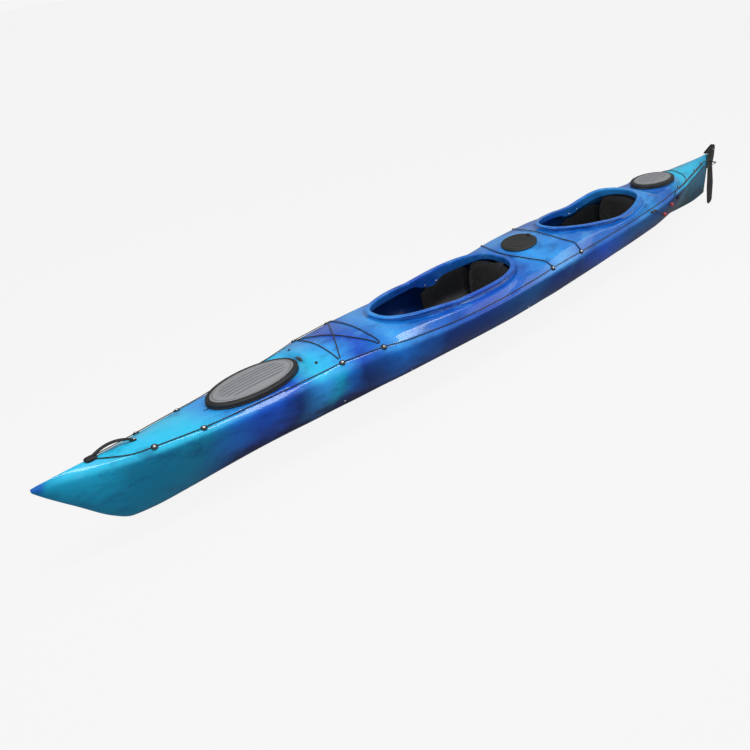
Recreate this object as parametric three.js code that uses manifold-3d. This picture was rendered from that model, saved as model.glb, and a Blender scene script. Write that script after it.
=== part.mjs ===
// Tandem touring kayak: one moulded shell with two cockpits, three hatches, a kick-up
// rudder, seats, foot braces and deck lines. Millimetres, +X to the bow, +Y to port, +Z up,
// with the origin on the flat of the keel amidships.
import * as THREE from 'three';
import { mergeVertices } from 'three/addons/utils/BufferGeometryUtils.js';
import Module from 'manifold-3d';

const wasm = await Module();
wasm.setup();

// Driving sizes of the boat
const hullLength = 5480;
const sternReach = 2730;
const hullBeam = 644;
const hullDepth = 350;
const hullWall = 5;
const keelFlatWidth = 34;
const sternRake = 30;
const sternRakeRun = 120;
const seatGap = 0.3;
const normalReach = 8;
const cutOverrun = 60;
const runningGap = 0.1;
const boreSegments = 24;

// Hull stations, stern to bow: place along the length, half beam, keel height, fullness of
// the bilge, sheer height, deck edge out and up, deck shoulder out and up, ridge height.
// Widths are shares of the half beam (edge and shoulder: of the local half beam), heights
// are shares of the depth.
const hullStationShares = [
  [0.0000, 0.044, -0.049, 1.00, 0.671, 0.857, 0.740, 0.571, 0.790, 0.812],
  [0.0073, 0.079, -0.061, 1.00, 0.657, 0.840, 0.728, 0.560, 0.790, 0.812],
  [0.0237, 0.145, -0.072, 1.00, 0.632, 0.870, 0.705, 0.565, 0.782, 0.814],
  [0.0447, 0.233, -0.090, 1.00, 0.606, 0.865, 0.680, 0.595, 0.775, 0.818],
  [0.0785, 0.377, -0.080, 1.10, 0.588, 0.883, 0.658, 0.617, 0.768, 0.824],
  [0.0955, 0.453, -0.068, 1.30, 0.581, 0.892, 0.650, 0.703, 0.758, 0.822],
  [0.1020, 0.479, -0.063, 1.35, 0.577, 0.890, 0.646, 0.761, 0.754, 0.777],
  [0.1356, 0.597, -0.042, 1.70, 0.571, 0.905, 0.646, 0.789, 0.766, 0.797],
  [0.1750, 0.711, -0.014, 2.10, 0.571, 0.911, 0.649, 0.786, 0.789, 0.829],
  [0.1805, 0.724, -0.009, 2.15, 0.571, 0.908, 0.651, 0.786, 0.823, 0.869],
  [0.1953, 0.755, -0.003, 2.20, 0.571, 0.912, 0.654, 0.817, 0.834, 0.891],
  [0.2245, 0.799, 0.000, 2.30, 0.577, 0.917, 0.657, 0.850, 0.811, 0.857],
  [0.2555, 0.846, 0.000, 2.35, 0.583, 0.929, 0.660, 0.881, 0.766, 0.814],
  [0.2838, 0.877, 0.000, 2.40, 0.589, 0.935, 0.666, 0.860, 0.771, 0.829],
  [0.3181, 0.915, 0.000, 2.50, 0.594, 0.942, 0.677, 0.825, 0.840, 0.900],
  [0.3436, 0.940, 0.000, 2.55, 0.600, 0.943, 0.686, 0.809, 0.874, 0.957],
  [0.3677, 0.962, 0.000, 2.60, 0.606, 0.938, 0.694, 0.807, 0.874, 0.977],
  [0.3887, 0.978, 0.000, 2.65, 0.609, 0.939, 0.700, 0.807, 0.869, 1.000],
  [0.4133, 0.997, 0.000, 2.70, 0.611, 0.937, 0.703, 0.808, 0.851, 0.954],
  [0.4292, 1.000, 0.000, 2.70, 0.611, 0.940, 0.694, 0.811, 0.829, 0.929],
  [0.4462, 1.000, 0.000, 2.75, 0.611, 0.943, 0.680, 0.811, 0.811, 0.897],
  [0.4869, 1.000, 0.000, 2.80, 0.609, 0.940, 0.663, 0.824, 0.794, 0.857],
  [0.5060, 0.997, 0.000, 2.75, 0.609, 0.943, 0.660, 0.845, 0.789, 0.857],
  [0.5447, 0.984, 0.000, 2.60, 0.614, 0.939, 0.669, 0.831, 0.800, 0.857],
  [0.5834, 0.959, 0.000, 2.50, 0.629, 0.931, 0.691, 0.787, 0.834, 0.871],
  [0.6122, 0.934, -0.003, 2.45, 0.651, 0.916, 0.726, 0.741, 0.874, 0.909],
  [0.6432, 0.899, -0.006, 2.40, 0.680, 0.906, 0.771, 0.720, 0.909, 0.966],
  [0.6679, 0.855, -0.011, 2.35, 0.714, 0.904, 0.829, 0.699, 0.931, 0.991],
  [0.6923, 0.814, -0.017, 2.30, 0.726, 0.882, 0.857, 0.664, 0.928, 1.009],
  [0.7146, 0.767, -0.026, 2.20, 0.734, 0.868, 0.874, 0.656, 0.931, 1.000],
  [0.7340, 0.727, -0.042, 2.07, 0.740, 0.853, 0.862, 0.673, 0.897, 0.985],
  [0.7400, 0.714, -0.047, 2.04, 0.742, 0.850, 0.856, 0.712, 0.860, 0.872],
  [0.7932, 0.629, -0.071, 1.65, 0.761, 0.826, 0.836, 0.750, 0.852, 0.868],
  [0.8391, 0.538, -0.091, 1.45, 0.770, 0.830, 0.842, 0.702, 0.860, 0.870],
  [0.8593, 0.494, -0.091, 1.50, 0.774, 0.838, 0.850, 0.586, 0.878, 0.898],
  [0.8816, 0.428, -0.089, 1.60, 0.777, 0.838, 0.866, 0.456, 0.906, 0.920],
  [0.9038, 0.358, -0.083, 1.75, 0.786, 0.825, 0.880, 0.351, 0.940, 0.954],
  [0.9318, 0.258, -0.037, 1.80, 0.811, 0.805, 0.914, 0.293, 0.980, 0.996],
  [0.9484, 0.195, 0.126, 1.70, 0.840, 0.806, 0.938, 0.258, 0.998, 1.009],
  [0.9708, 0.107, 0.474, 1.50, 0.890, 0.794, 0.966, 0.265, 1.010, 1.018],
  [0.9931, 0.031, 0.829, 1.30, 0.955, 0.700, 0.986, 0.300, 1.010, 1.017],
  [1.0000, 0.009, 0.954, 1.10, 0.978, 0.667, 0.990, 0.333, 1.004, 1.010],
];
const bilgeSteps = 7;
const keelFlatShare = 0.28;
const deckCamberShares = [0.68, 0.34];
const camberPower = 1.7;
const longestStation = 125;
const hollowStartShare = 0.036;
const hollowEndShare = 0.941;

// Places along the boat are shares of its length from the stern, widths of its half beam.
function hullX(share) {
  return share * hullLength - sternReach;
}

function openingAt({ aft, forward, halfWidth }) {
  return { aft: hullX(aft), forward: hullX(forward), halfWidth: (halfWidth * hullBeam) / 2 };
}

function hatchAt({ x, halfLength, halfWidth, seat, slope }) {
  return {
    x: hullX(x), halfLength: halfLength * hullLength, halfWidth: (halfWidth * hullBeam) / 2,
    seat: seat * hullDepth, slope,
  };
}

// Cockpits: the edge of each opening, the spray-deck lip round it, and the thigh skirts
const lipWidth = 24;
const lipThick = 9;
const lipRound = 3;
const coamingWall = 7;
const skirtDepth = 105;
const rimSegments = 40;
const frontCockpitShares = { aft: 0.4526, forward: 0.6365, halfWidth: 0.65 };
const rearCockpitShares = { aft: 0.2026, forward: 0.365, halfWidth: 0.602 };
const frontCockpit = {
  name: 'front', ...openingAt(frontCockpitShares), corner: 2.73, taper: 0.2,
  lipShares: [[0, 0.954], [0.1, 0.92], [0.25, 0.909], [0.55, 0.909], [0.65, 0.937], [0.75, 0.963], [0.87, 0.986], [1, 1.017]],
  skirtShares: [[0, 0.36], [0.13, 0.6], [0.26, 0.66], [0.35, 1], [0.44, 0.8], [0.53, 0.42], [0.64, 0.36], [1, 0.34]],
};
const rearCockpit = {
  name: 'rear', ...openingAt(rearCockpitShares), corner: 2.4, taper: 0.2,
  lipShares: [[0, 0.966], [0.07, 0.966], [0.16, 0.934], [0.24, 0.891], [0.4, 0.846], [0.5, 0.866], [0.61, 0.909], [0.74, 0.954], [0.87, 1.006], [1, 1.054]],
  skirtShares: [[0, 0.36], [0.13, 0.56], [0.26, 0.58], [0.37, 0.66], [0.47, 0.6], [0.56, 0.42], [0.66, 0.4], [1, 0.36]],
};

// Hatches: half sizes are those of the rubber cover's skirt
const hatchRimHeight = 20;
const hatchRimWall = 6;
const hatchSkirt = 12;
const hatchCoverTop = 31;
const coverGap = 1.2;
const hatchPlateInset = 26;
const hatchCrown = 9;
const ovalSegments = 28;
const frontHatchShares = { x: 0.79, halfLength: 0.0489, halfWidth: 0.4625, seat: 0.8735, slope: 0 };
const rearHatchShares = { x: 0.1385, halfLength: 0.0363, halfWidth: 0.4125, seat: 0.807, slope: 0.045 };
const dayHatchShares = { x: 0.4133, halfLength: 0.0208, halfWidth: 0.354, seat: 0.962, slope: -0.114 };
const frontHatch = hatchAt(frontHatchShares);
const rearHatch = hatchAt(rearHatchShares);
const dayHatch = { ...hatchAt(dayHatchShares), rimHeight: 9, coverTop: 17 };
dayHatch.radius = Math.min(dayHatch.halfLength, dayHatch.halfWidth);

// Seats
const seatLength = 346;
const seatBack = 130;
const seatFloor = 26;
const seatShell = 4;
const seatRunner = 12;
const seatRunnerSpread = 116;
const hipRise = 262;
const hipInset = 1.2;
const padInset = 16;
const padRise = 34;
const backrestHeight = 246;
const backrestWidthShare = 0.86;
const backrestThick = 38;
const backrestRecline = 0.42;
const backrestWrap = 46;

// Foot braces
const railHeight = 22;
const railThick = 11;
const railStandOff = 9;
const railEnd = 28;
const bossRadius = 13;
const carriageLength = 40;
const carriageWall = 4;
const slideGap = 0.4;
const pedalWidth = 78;
const pedalHeight = 112;
const pedalThick = 8;
const pedalPin = 4;
const padClearance = 0.8;
const frontRailShares = { aft: 0.636, aftHeight: 0.211, forward: 0.7179, forwardHeight: 0.249 };
const rearRailShares = { aft: 0.3861, aftHeight: 0.206, forward: 0.4655, forwardHeight: 0.246 };
const frontPedalShare = 0.45;
const rearPedalShare = 0.42;

// Rudder
const yawOffset = 20;
const yawX = -sternReach - yawOffset;
const bracketPlate = 6;
const bracketWrap = 3.2;
const bracketReach = 44;
const yawPinRadius = 4;
const barrelRadius = 11;
const lowerKnuckleShares = [0.514, 0.583];
const upperKnuckleShares = [0.731, 0.794];
const lowerKnuckle = lowerKnuckleShares.map((share) => share * hullDepth);
const upperKnuckle = upperKnuckleShares.map((share) => share * hullDepth);
const pivotOffset = 56;
const pivotHeightShare = 0.857;
const bladePivot = { x: yawX - pivotOffset, z: pivotHeightShare * hullDepth };
const bladeThick = 8;
const bladeBoltRadius = 4;
const cheekThick = 4;
const bearingGap = 0.4;
const tillerReach = 66;
const tillerThick = 7;
const tillerLevelShare = 0.62;
const tillerLevel = tillerLevelShare * hullDepth;

// Lines
const tubeSides = 6;
const lineRadius = 2.5;
const bungeeRadius = 3;
const lineHeight = 4.4;
const layGap = 0.5;
const sunk = 2;
const eyeGap = 0.45;
const ballRadius = 13;
const padEyeRadius = 17;
const padEyeHeight = 11;
const padEyeInset = 8;

// Curves through tables

// A smooth curve through points that never overshoots them (monotone cubic).
function monotoneCurve(xs, ys) {
  const slopes = xs.slice(1).map((x, i) => (ys[i + 1] - ys[i]) / (x - xs[i]));
  const tangents = xs.map((_, i) => {
    if (i === 0) return slopes[0];
    if (i === xs.length - 1) return slopes[i - 1];
    const before = slopes[i - 1];
    const after = slopes[i];
    return before * after <= 0 ? 0 : (2 * before * after) / (before + after);
  });
  return (x) => {
    let i = xs.findIndex((edge) => edge > x) - 1;
    if (x >= xs[xs.length - 1]) i = xs.length - 2;
    if (x <= xs[0]) i = 0;
    const span = xs[i + 1] - xs[i];
    const t = Math.min(1, Math.max(0, (x - xs[i]) / span));
    const rise = ys[i + 1] - ys[i];
    const a = tangents[i] * span - rise;
    const b = rise - tangents[i + 1] * span;
    return ys[i] + rise * t + t * (1 - t) * (a * (1 - t) + b * t);
  };
}

function tableCurve(rows) {
  return monotoneCurve(rows.map((row) => row[0]), rows.map((row) => row[1]));
}

const stationPlaces = hullStationShares.map((row) => row[0]);
const stationCurves = hullStationShares[0].slice(1)
  .map((_, i) => monotoneCurve(stationPlaces, hullStationShares.map((row) => row[i + 1])));

function hullStation(x) {
  const share = (x + sternReach) / hullLength;
  const [beam, keel, fullness, sheer, edgeOut, edgeUp, shoulderOut, shoulderUp, ridge] =
    stationCurves.map((curve) => curve(share));
  const half = beam * hullBeam / 2;
  return {
    half, keel: keel * hullDepth, fullness, sheer: sheer * hullDepth,
    edge: [edgeOut * half, edgeUp * hullDepth],
    shoulder: [shoulderOut * half, shoulderUp * hullDepth],
    ridge: ridge * hullDepth,
  };
}

// Half of the hull's outline at a station, from the keel round the port side to the ridge.
function halfSection(x) {
  const at = hullStation(x);
  const flat = Math.min(keelFlatWidth / 2, keelFlatShare * at.half);
  const points = [[0, at.keel], [flat, at.keel]];
  for (let k = 1; k <= bilgeSteps; k += 1) {
    const turn = (k / bilgeSteps) * Math.PI / 2;
    const power = 2 / at.fullness;
    points.push([
      flat + (at.half - flat) * Math.sin(turn) ** power,
      at.sheer - (at.sheer - at.keel) * Math.cos(turn) ** power,
    ]);
  }
  points.push(at.edge, at.shoulder);
  for (const share of deckCamberShares) {
    points.push([at.shoulder[0] * share, at.ridge - (at.ridge - at.shoulder[1]) * share ** camberPower]);
  }
  points.push([0, at.ridge]);
  return points;
}

function fullSection(x) {
  const port = halfSection(x);
  const starboard = port.slice(1, -1).reverse().map(([y, z]) => [-y, z]);
  return [...port, ...starboard];
}

// Moves a closed outline inwards by a distance, with mitred corners.
function insetOutline(points, distance) {
  const count = points.length;
  const unit = (a, b) => {
    const dy = b[0] - a[0];
    const dz = b[1] - a[1];
    const length = Math.hypot(dy, dz);
    return [-dz / length, dy / length];
  };
  return points.map((point, i) => {
    const before = unit(points[(i + count - 1) % count], point);
    const after = unit(point, points[(i + 1) % count]);
    const sum = [before[0] + after[0], before[1] + after[1]];
    const scale = (2 * distance) / Math.max(sum[0] ** 2 + sum[1] ** 2, 0.2);
    return [point[0] + sum[0] * scale, point[1] + sum[1] * scale];
  });
}

function stationList(fromShare, toShare, longest) {
  const places = stationPlaces.filter((share) => share >= fromShare && share <= toShare);
  if (places[0] > fromShare) places.unshift(fromShare);
  if (places[places.length - 1] < toShare) places.push(toShare);
  const list = [];
  places.forEach((share, i) => {
    list.push(hullX(share));
    if (i === places.length - 1) return;
    const span = (places[i + 1] - share) * hullLength;
    const parts = Math.ceil(span / longest);
    for (let k = 1; k < parts; k += 1) list.push(hullX(share) + (span * k) / parts);
  });
  return list;
}

// The half section of the faceted skin: straight between the two nearest stations.
const skinPlaces = stationList(0, 1, longestStation);
const skinSections = skinPlaces.map((x) => halfSection(x));
function skinSection(x) {
  const next = Math.min(skinPlaces.length - 1, Math.max(1, skinPlaces.findIndex((place) => place > x)));
  const [from, to] = [skinPlaces[next - 1], skinPlaces[next]];
  const share = Math.min(1, Math.max(0, (x - from) / (to - from)));
  return skinSections[next - 1].map((point, i) =>
    point.map((value, axis) => value + share * (skinSections[next][i][axis] - value)));
}

function deckHeight(x, y) {
  const outline = skinSection(x).slice(bilgeSteps + 1);
  const out = Math.abs(y);
  let k = outline.findIndex((point, i) => i > 0 && point[0] <= out);
  if (k < 0) k = outline.length - 1;
  const [outer, inner] = [outline[k - 1], outline[k]];
  const share = Math.min(1, Math.max(0, (outer[0] - out) / (outer[0] - inner[0])));
  return outer[1] + share * (inner[1] - outer[1]);
}

// Height of the deck at a point of the plan, and the section's outward normal, averaged
// over a fitting's breadth so that it turns smoothly past the shoulder.
function deckAt(x, y) {
  const out = Math.abs(y);
  const [low, high] = [Math.max(0, out - normalReach), out + normalReach];
  const drop = deckHeight(x, low) - deckHeight(x, high);
  const length = Math.hypot(high - low, drop);
  return { z: deckHeight(x, out), normal: [drop / length, (high - low) / length] };
}

// Half width of the hull's outer skin at a height below the sheer.
function sideAt(x, z) {
  const at = hullStation(x);
  const flat = Math.min(keelFlatWidth / 2, keelFlatShare * at.half);
  const depth = (at.sheer - z) / (at.sheer - at.keel);
  return flat + (at.half - flat) * (1 - depth ** at.fullness) ** (1 / at.fullness);
}

// Geometry helpers

// A closed mesh from vertices and triangles, turned so that its faces point outwards.
function closedGeometry(vertices, triangles) {
  let volume = 0;
  for (const [a, b, c] of triangles) {
    const [p, q, r] = [vertices[a], vertices[b], vertices[c]];
    volume += p[0] * (q[1] * r[2] - q[2] * r[1]);
    volume += p[1] * (q[2] * r[0] - q[0] * r[2]);
    volume += p[2] * (q[0] * r[1] - q[1] * r[0]);
  }
  const turned = volume < 0 ? triangles.map(([a, b, c]) => [a, c, b]) : triangles;
  const geometry = new THREE.BufferGeometry();
  geometry.setAttribute('position', new THREE.Float32BufferAttribute(vertices.flat(), 3));
  geometry.setIndex(turned.flat());
  return geometry;
}

function apart(a, b) {
  return Math.hypot(a[0] - b[0], a[1] - b[1], a[2] - b[2]);
}

// Skins a row of rings with the same number of points, with the shorter diagonal in each
// four-sided patch. Ends are closed by fans, or the last ring joins the first.
function skinRings(rings, { closed = false } = {}) {
  const count = rings[0].length;
  const vertices = rings.flat();
  const triangles = [];
  const rows = closed ? rings.length : rings.length - 1;
  for (let i = 0; i < rows; i += 1) {
    const a = i * count;
    const b = ((i + 1) % rings.length) * count;
    for (let k = 0; k < count; k += 1) {
      const next = (k + 1) % count;
      if (apart(vertices[a + next], vertices[b + k]) <= apart(vertices[a + k], vertices[b + next])) {
        triangles.push([a + k, a + next, b + k], [a + next, b + next, b + k]);
      } else {
        triangles.push([a + k, a + next, b + next], [a + k, b + next, b + k]);
      }
    }
  }
  if (!closed) {
    for (const [row, flip] of [[0, true], [rings.length - 1, false]]) {
      const ring = rings[row];
      const centre = [0, 1, 2].map((axis) => ring.reduce((sum, point) => sum + point[axis], 0) / count);
      vertices.push(centre);
      for (let k = 0; k < count; k += 1) {
        const pair = [row * count + k, row * count + (k + 1) % count];
        triangles.push(flip ? [pair[1], pair[0], vertices.length - 1] : [...pair, vertices.length - 1]);
      }
    }
  }
  return closedGeometry(vertices, triangles);
}

// A shell between two grids of points with the same rows and columns.
function slab(top, bottom) {
  const rows = top.length;
  const columns = top[0].length;
  const vertices = [...top.flat(), ...bottom.flat()];
  const lower = rows * columns;
  const at = (i, k) => i * columns + k;
  const triangles = [];
  for (let i = 0; i < rows - 1; i += 1) {
    for (let k = 0; k < columns - 1; k += 1) {
      const [a, b, c, d] = [at(i, k), at(i + 1, k), at(i + 1, k + 1), at(i, k + 1)];
      triangles.push([a, b, c], [a, c, d], [lower + a, lower + c, lower + b], [lower + a, lower + d, lower + c]);
    }
  }
  const border = [];
  for (let k = 0; k < columns; k += 1) border.push(at(0, k));
  for (let i = 1; i < rows; i += 1) border.push(at(i, columns - 1));
  for (let k = columns - 2; k >= 0; k -= 1) border.push(at(rows - 1, k));
  for (let i = rows - 2; i > 0; i -= 1) border.push(at(i, 0));
  border.forEach((a, i) => {
    const b = border[(i + 1) % border.length];
    triangles.push([a, b, lower + b], [a, lower + b, lower + a]);
  });
  return closedGeometry(vertices, triangles);
}

function solidOf(geometry) {
  const bare = geometry.clone();
  bare.deleteAttribute('normal');
  bare.deleteAttribute('uv');
  const merged = mergeVertices(bare);
  return new wasm.Manifold(new wasm.Mesh({
    numProp: 3,
    vertProperties: new Float32Array(merged.attributes.position.array),
    triVerts: new Uint32Array(merged.index.array),
  }));
}

function geometryOf(solid) {
  const mesh = solid.getMesh();
  const geometry = new THREE.BufferGeometry();
  geometry.setAttribute('position', new THREE.BufferAttribute(mesh.vertProperties.slice(), 3));
  geometry.setIndex(new THREE.BufferAttribute(mesh.triVerts.slice(), 1));
  return geometry;
}

// Extrudes an outline in a plane: 'XY' rises along +Z, 'XZ' is centred on Y, 'YZ' on X.
function prism(outline, from, to, plane = 'XY') {
  const shape = new THREE.Shape(outline.map(([a, b]) => new THREE.Vector2(a, b)));
  const geometry = new THREE.ExtrudeGeometry(shape, { depth: to - from, bevelEnabled: false });
  geometry.translate(0, 0, from);
  if (plane === 'XZ') geometry.rotateX(Math.PI / 2).scale(1, -1, 1);
  if (plane === 'YZ') geometry.applyMatrix4(new THREE.Matrix4().makeBasis(
    new THREE.Vector3(0, 1, 0), new THREE.Vector3(0, 0, 1), new THREE.Vector3(1, 0, 0)));
  return plane === 'XZ' ? flipFaces(geometry) : geometry;
}

function flipFaces(geometry) {
  const flipped = geometry.index ? geometry : mergeVertices(geometry);
  const index = flipped.index.array;
  for (let i = 0; i < index.length; i += 3) [index[i + 1], index[i + 2]] = [index[i + 2], index[i + 1]];
  return flipped;
}

function mirrored(geometry) {
  return flipFaces(geometry.clone().scale(1, -1, 1));
}

// A cylinder along an axis between two places.
function rod(radius, from, to, axis = 'Z', segments = 16) {
  const geometry = new THREE.CylinderGeometry(radius, radius, to - from, segments);
  geometry.translate(0, (from + to) / 2, 0);
  if (axis === 'Z') geometry.rotateX(Math.PI / 2);
  if (axis === 'X') geometry.rotateZ(-Math.PI / 2);
  return geometry;
}

function rodAt(radius, from, to, axis, place, segments) {
  return solidOf(rod(radius, from, to, axis, segments).translate(...place));
}

// A cord carried through points, with a ring of corners at each.
function tube(points, radius) {
  const path = points.map((point) => new THREE.Vector3(...point));
  let side = null;
  const rings = path.map((point, i) => {
    const before = path[Math.max(0, i - 1)];
    const after = path[Math.min(path.length - 1, i + 1)];
    const along = after.clone().sub(before).normalize();
    const start = side ?? new THREE.Vector3(0, 0, 1).cross(along);
    side = start.clone().addScaledVector(along, -start.dot(along)).normalize();
    const other = new THREE.Vector3().crossVectors(along, side);
    return Array.from({ length: tubeSides }, (_, k) => {
      const turn = (2 * Math.PI * k) / tubeSides;
      return point.clone().addScaledVector(side, radius * Math.cos(turn))
        .addScaledVector(other, radius * Math.sin(turn)).toArray();
    });
  });
  return skinRings(rings);
}

function boxSolid(low, high) {
  const size = high.map((value, i) => value - low[i]);
  const geometry = new THREE.BoxGeometry(...size);
  geometry.translate(...high.map((value, i) => (value + low[i]) / 2));
  return solidOf(geometry);
}

// Materials
function plastic(color, roughness) {
  return new THREE.MeshStandardMaterial({ color, roughness, metalness: 0 });
}
const hullPlastic = plastic(0x1478c8, 0.25);
const blackRubber = plastic(0x1b1c1e, 0.7);
const plateGrey = plastic(0x77797d, 0.5);
const blackPlastic = plastic(0x141416, 0.45);
const seatFabric = plastic(0x151517, 0.9);
const bulkheadGrey = plastic(0x4a4d52, 0.6);
const cordBlack = plastic(0x101012, 0.8);
const ballRed = plastic(0xc4242b, 0.35);
const steel = new THREE.MeshStandardMaterial({ color: 0xb9bcc0, roughness: 0.3, metalness: 1 });

const kayak = new THREE.Group();

function add(name, geometry, material, parent = kayak) {
  const bare = geometry.clone();
  bare.deleteAttribute('normal');
  bare.deleteAttribute('uv');
  const mesh = new THREE.Mesh(mergeVertices(bare), material);
  mesh.name = name;
  parent.add(mesh);
  return mesh;
}

// Hull shell

function rakeShift(x, z) {
  const near = Math.max(0, 1 - (x + sternReach) / sternRakeRun);
  const at = hullStation(x);
  return sternRake * near * (1 - (z - at.keel) / (at.ridge - at.keel));
}

function hullLoft(fromShare, toShare, longest, inset) {
  return skinRings(stationList(fromShare, toShare, longest).map((x) => {
    const outline = inset > 0 ? insetOutline(fullSection(x), inset) : fullSection(x);
    return outline.map(([y, z]) => [x + rakeShift(x, z), y, z]);
  }));
}

const hullOutside = solidOf(hullLoft(0, 1, longestStation, 0));
const hullInside = solidOf(hullLoft(hollowStartShare, hollowEndShare, 2 * longestStation, hullWall));
const hullRoom = solidOf(hullLoft(hollowStartShare, hollowEndShare, 2 * longestStation, hullWall + seatGap));

// The edge of a cockpit opening: a rounded oval, wider towards the stern.
function rimPoint(cockpit, turn, grow = 0) {
  const power = 2 / cockpit.corner;
  const along = Math.sign(Math.cos(turn)) * Math.abs(Math.cos(turn)) ** power;
  const across = Math.sign(Math.sin(turn)) * Math.abs(Math.sin(turn)) ** power;
  const halfLength = (cockpit.forward - cockpit.aft) / 2 + grow;
  const middle = (cockpit.forward + cockpit.aft) / 2;
  const width = (cockpit.halfWidth + grow) * (1 - cockpit.taper * along);
  return [middle + halfLength * along, width * across];
}

function rimHalfWidth(cockpit, x) {
  const halfLength = (cockpit.forward - cockpit.aft) / 2;
  const along = (x - (cockpit.forward + cockpit.aft) / 2) / halfLength;
  const width = cockpit.halfWidth * (1 - cockpit.taper * along);
  return width * (1 - Math.abs(along) ** cockpit.corner) ** (1 / cockpit.corner);
}

function lipHeight(cockpit, x) {
  const share = (x - cockpit.aft) / (cockpit.forward - cockpit.aft);
  return tableCurve(cockpit.lipShares)(share) * hullDepth;
}

// A band carried round a closed outline: profile points are [outwards, height].
function bandRound(outline, profileAt) {
  const count = outline.length;
  return skinRings(outline.map((point, i) => {
    const before = outline[(i + count - 1) % count];
    const after = outline[(i + 1) % count];
    const length = Math.hypot(after[0] - before[0], after[1] - before[1]);
    const out = [(after[1] - before[1]) / length, (before[0] - after[0]) / length];
    return profileAt(point).map(([o, z]) => [point[0] + out[0] * o, point[1] + out[1] * o, z]);
  }), { closed: true });
}

function rimOutline(cockpit, grow = 0) {
  return Array.from({ length: rimSegments }, (_, i) => rimPoint(cockpit, (2 * Math.PI * i) / rimSegments, grow));
}

function coaming(cockpit) {
  const skirtCurve = tableCurve(cockpit.skirtShares);
  return bandRound(rimOutline(cockpit), ([x, y]) => {
    const lip = lipHeight(cockpit, x);
    const share = (x - cockpit.aft) / (cockpit.forward - cockpit.aft);
    const underDeck = Math.min(deckAt(x, y).z, deckAt(x, Math.abs(y) + coamingWall).z) - hullWall - lipRound;
    const foot = Math.min(lip - skirtCurve(share) * skirtDepth, underDeck);
    return [
      [0, foot], [0, lip - lipRound], [lipRound, lip],
      [lipWidth - lipRound, lip - lipRound / 2], [lipWidth, lip - lipRound - lipRound / 2],
      [lipWidth, lip - lipThick], [coamingWall, lip - lipThick], [coamingWall, foot],
    ];
  });
}

function cockpitCut(cockpit) {
  const low = hullDepth / 3;
  return solidOf(prism(rimOutline(cockpit, coamingWall / 2), low, hullDepth + cutOverrun));
}

function ovalOutline(halfLength, halfWidth, segments = ovalSegments) {
  return Array.from({ length: segments }, (_, i) => {
    const turn = (2 * Math.PI * i) / segments;
    return [halfLength * Math.cos(turn), halfWidth * Math.sin(turn)];
  });
}

function hatchFrame(hatch) {
  const frame = new THREE.Matrix4().makeRotationY(-Math.atan(hatch.slope));
  return frame.setPosition(hatch.x, 0, hatch.seat);
}

function seatHeight(hatch, x) {
  return hatch.seat + hatch.slope * (x - hatch.x);
}

function hatchRim(hatch, halfLength, halfWidth, height) {
  const rim = bandRound(ovalOutline(halfLength, halfWidth), ([x, y]) => {
    const deck = Math.min(deckAt(hatch.x + x, y).z, deckAt(hatch.x + x, Math.abs(y) + hatchRimWall).z);
    const foot = deck - hullWall - lipRound - seatHeight(hatch, hatch.x + x);
    return [[0, foot], [0, height], [hatchRimWall, height], [hatchRimWall, foot]];
  });
  return solidOf(rim.applyMatrix4(hatchFrame(hatch)));
}

function hatchCut(hatch, halfLength, halfWidth) {
  const outline = ovalOutline(halfLength, halfWidth).map(([x, y]) => [hatch.x + x, y]);
  return solidOf(prism(outline, hullDepth / 2, hullDepth + cutOverrun));
}

function ovalRimHalf(half) {
  return half - hatchSkirt - coverGap - hatchRimWall;
}

// The wear strip takes the lowest aft corner of the keel, so the shell is cut to its shape.
const skidLengthShare = 0.0447;
const skidHeights = { aft: 24, forward: 6 };
function skidWedge(gap) {
  const aftX = -sternReach - cutOverrun;
  const foreX = hullX(skidLengthShare);
  const keelAft = hullStation(hullX(0)).keel;
  const keelFore = hullStation(foreX).keel;
  const outline = [
    [aftX, -hullDepth], [foreX + gap, -hullDepth],
    [foreX + gap, keelFore + skidHeights.forward + gap], [aftX, keelAft + skidHeights.aft + gap + cutOverrun / 4],
  ];
  return solidOf(prism(outline, -hullBeam, hullBeam, 'XZ'));
}

function hullShell() {
  let shell = hullOutside.subtract(hullInside);
  for (const cockpit of [frontCockpit, rearCockpit]) shell = shell.subtract(cockpitCut(cockpit));
  for (const hatch of [frontHatch, rearHatch]) {
    const halves = [ovalRimHalf(hatch.halfLength), ovalRimHalf(hatch.halfWidth)];
    const grow = hatchRimWall / 2;
    shell = shell.subtract(hatchCut(hatch, halves[0] + grow, halves[1] + grow));
    shell = shell.add(hatchRim(hatch, ...halves, hatchRimHeight));
  }
  const dayHalf = ovalRimHalf(dayHatch.radius);
  shell = shell.subtract(hatchCut(dayHatch, dayHalf + hatchRimWall / 2, dayHalf + hatchRimWall / 2));
  shell = shell.add(hatchRim(dayHatch, dayHalf, dayHalf, dayHatch.rimHeight));
  for (const cockpit of [frontCockpit, rearCockpit]) shell = shell.add(solidOf(coaming(cockpit)));
  return shell.subtract(skidWedge(seatGap));
}

add('hull_shell', geometryOf(hullShell()), hullPlastic);
add('stern_skid', geometryOf(hullOutside.intersect(skidWedge(0))), blackPlastic);

// Bulkheads: flat plates trimmed to the inside of the shell
const bulkheadThick = 8;
const bulkheadShares = { bow: 0.7354, stern: 0.187 };
for (const [end, share] of Object.entries(bulkheadShares)) {
  const x = hullX(share);
  const plate = boxSolid([x, -hullBeam, -hullDepth], [x + bulkheadThick, hullBeam, 2 * hullDepth]);
  add(`${end}_bulkhead`, geometryOf(plate.intersect(hullRoom)), bulkheadGrey);
}

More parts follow.
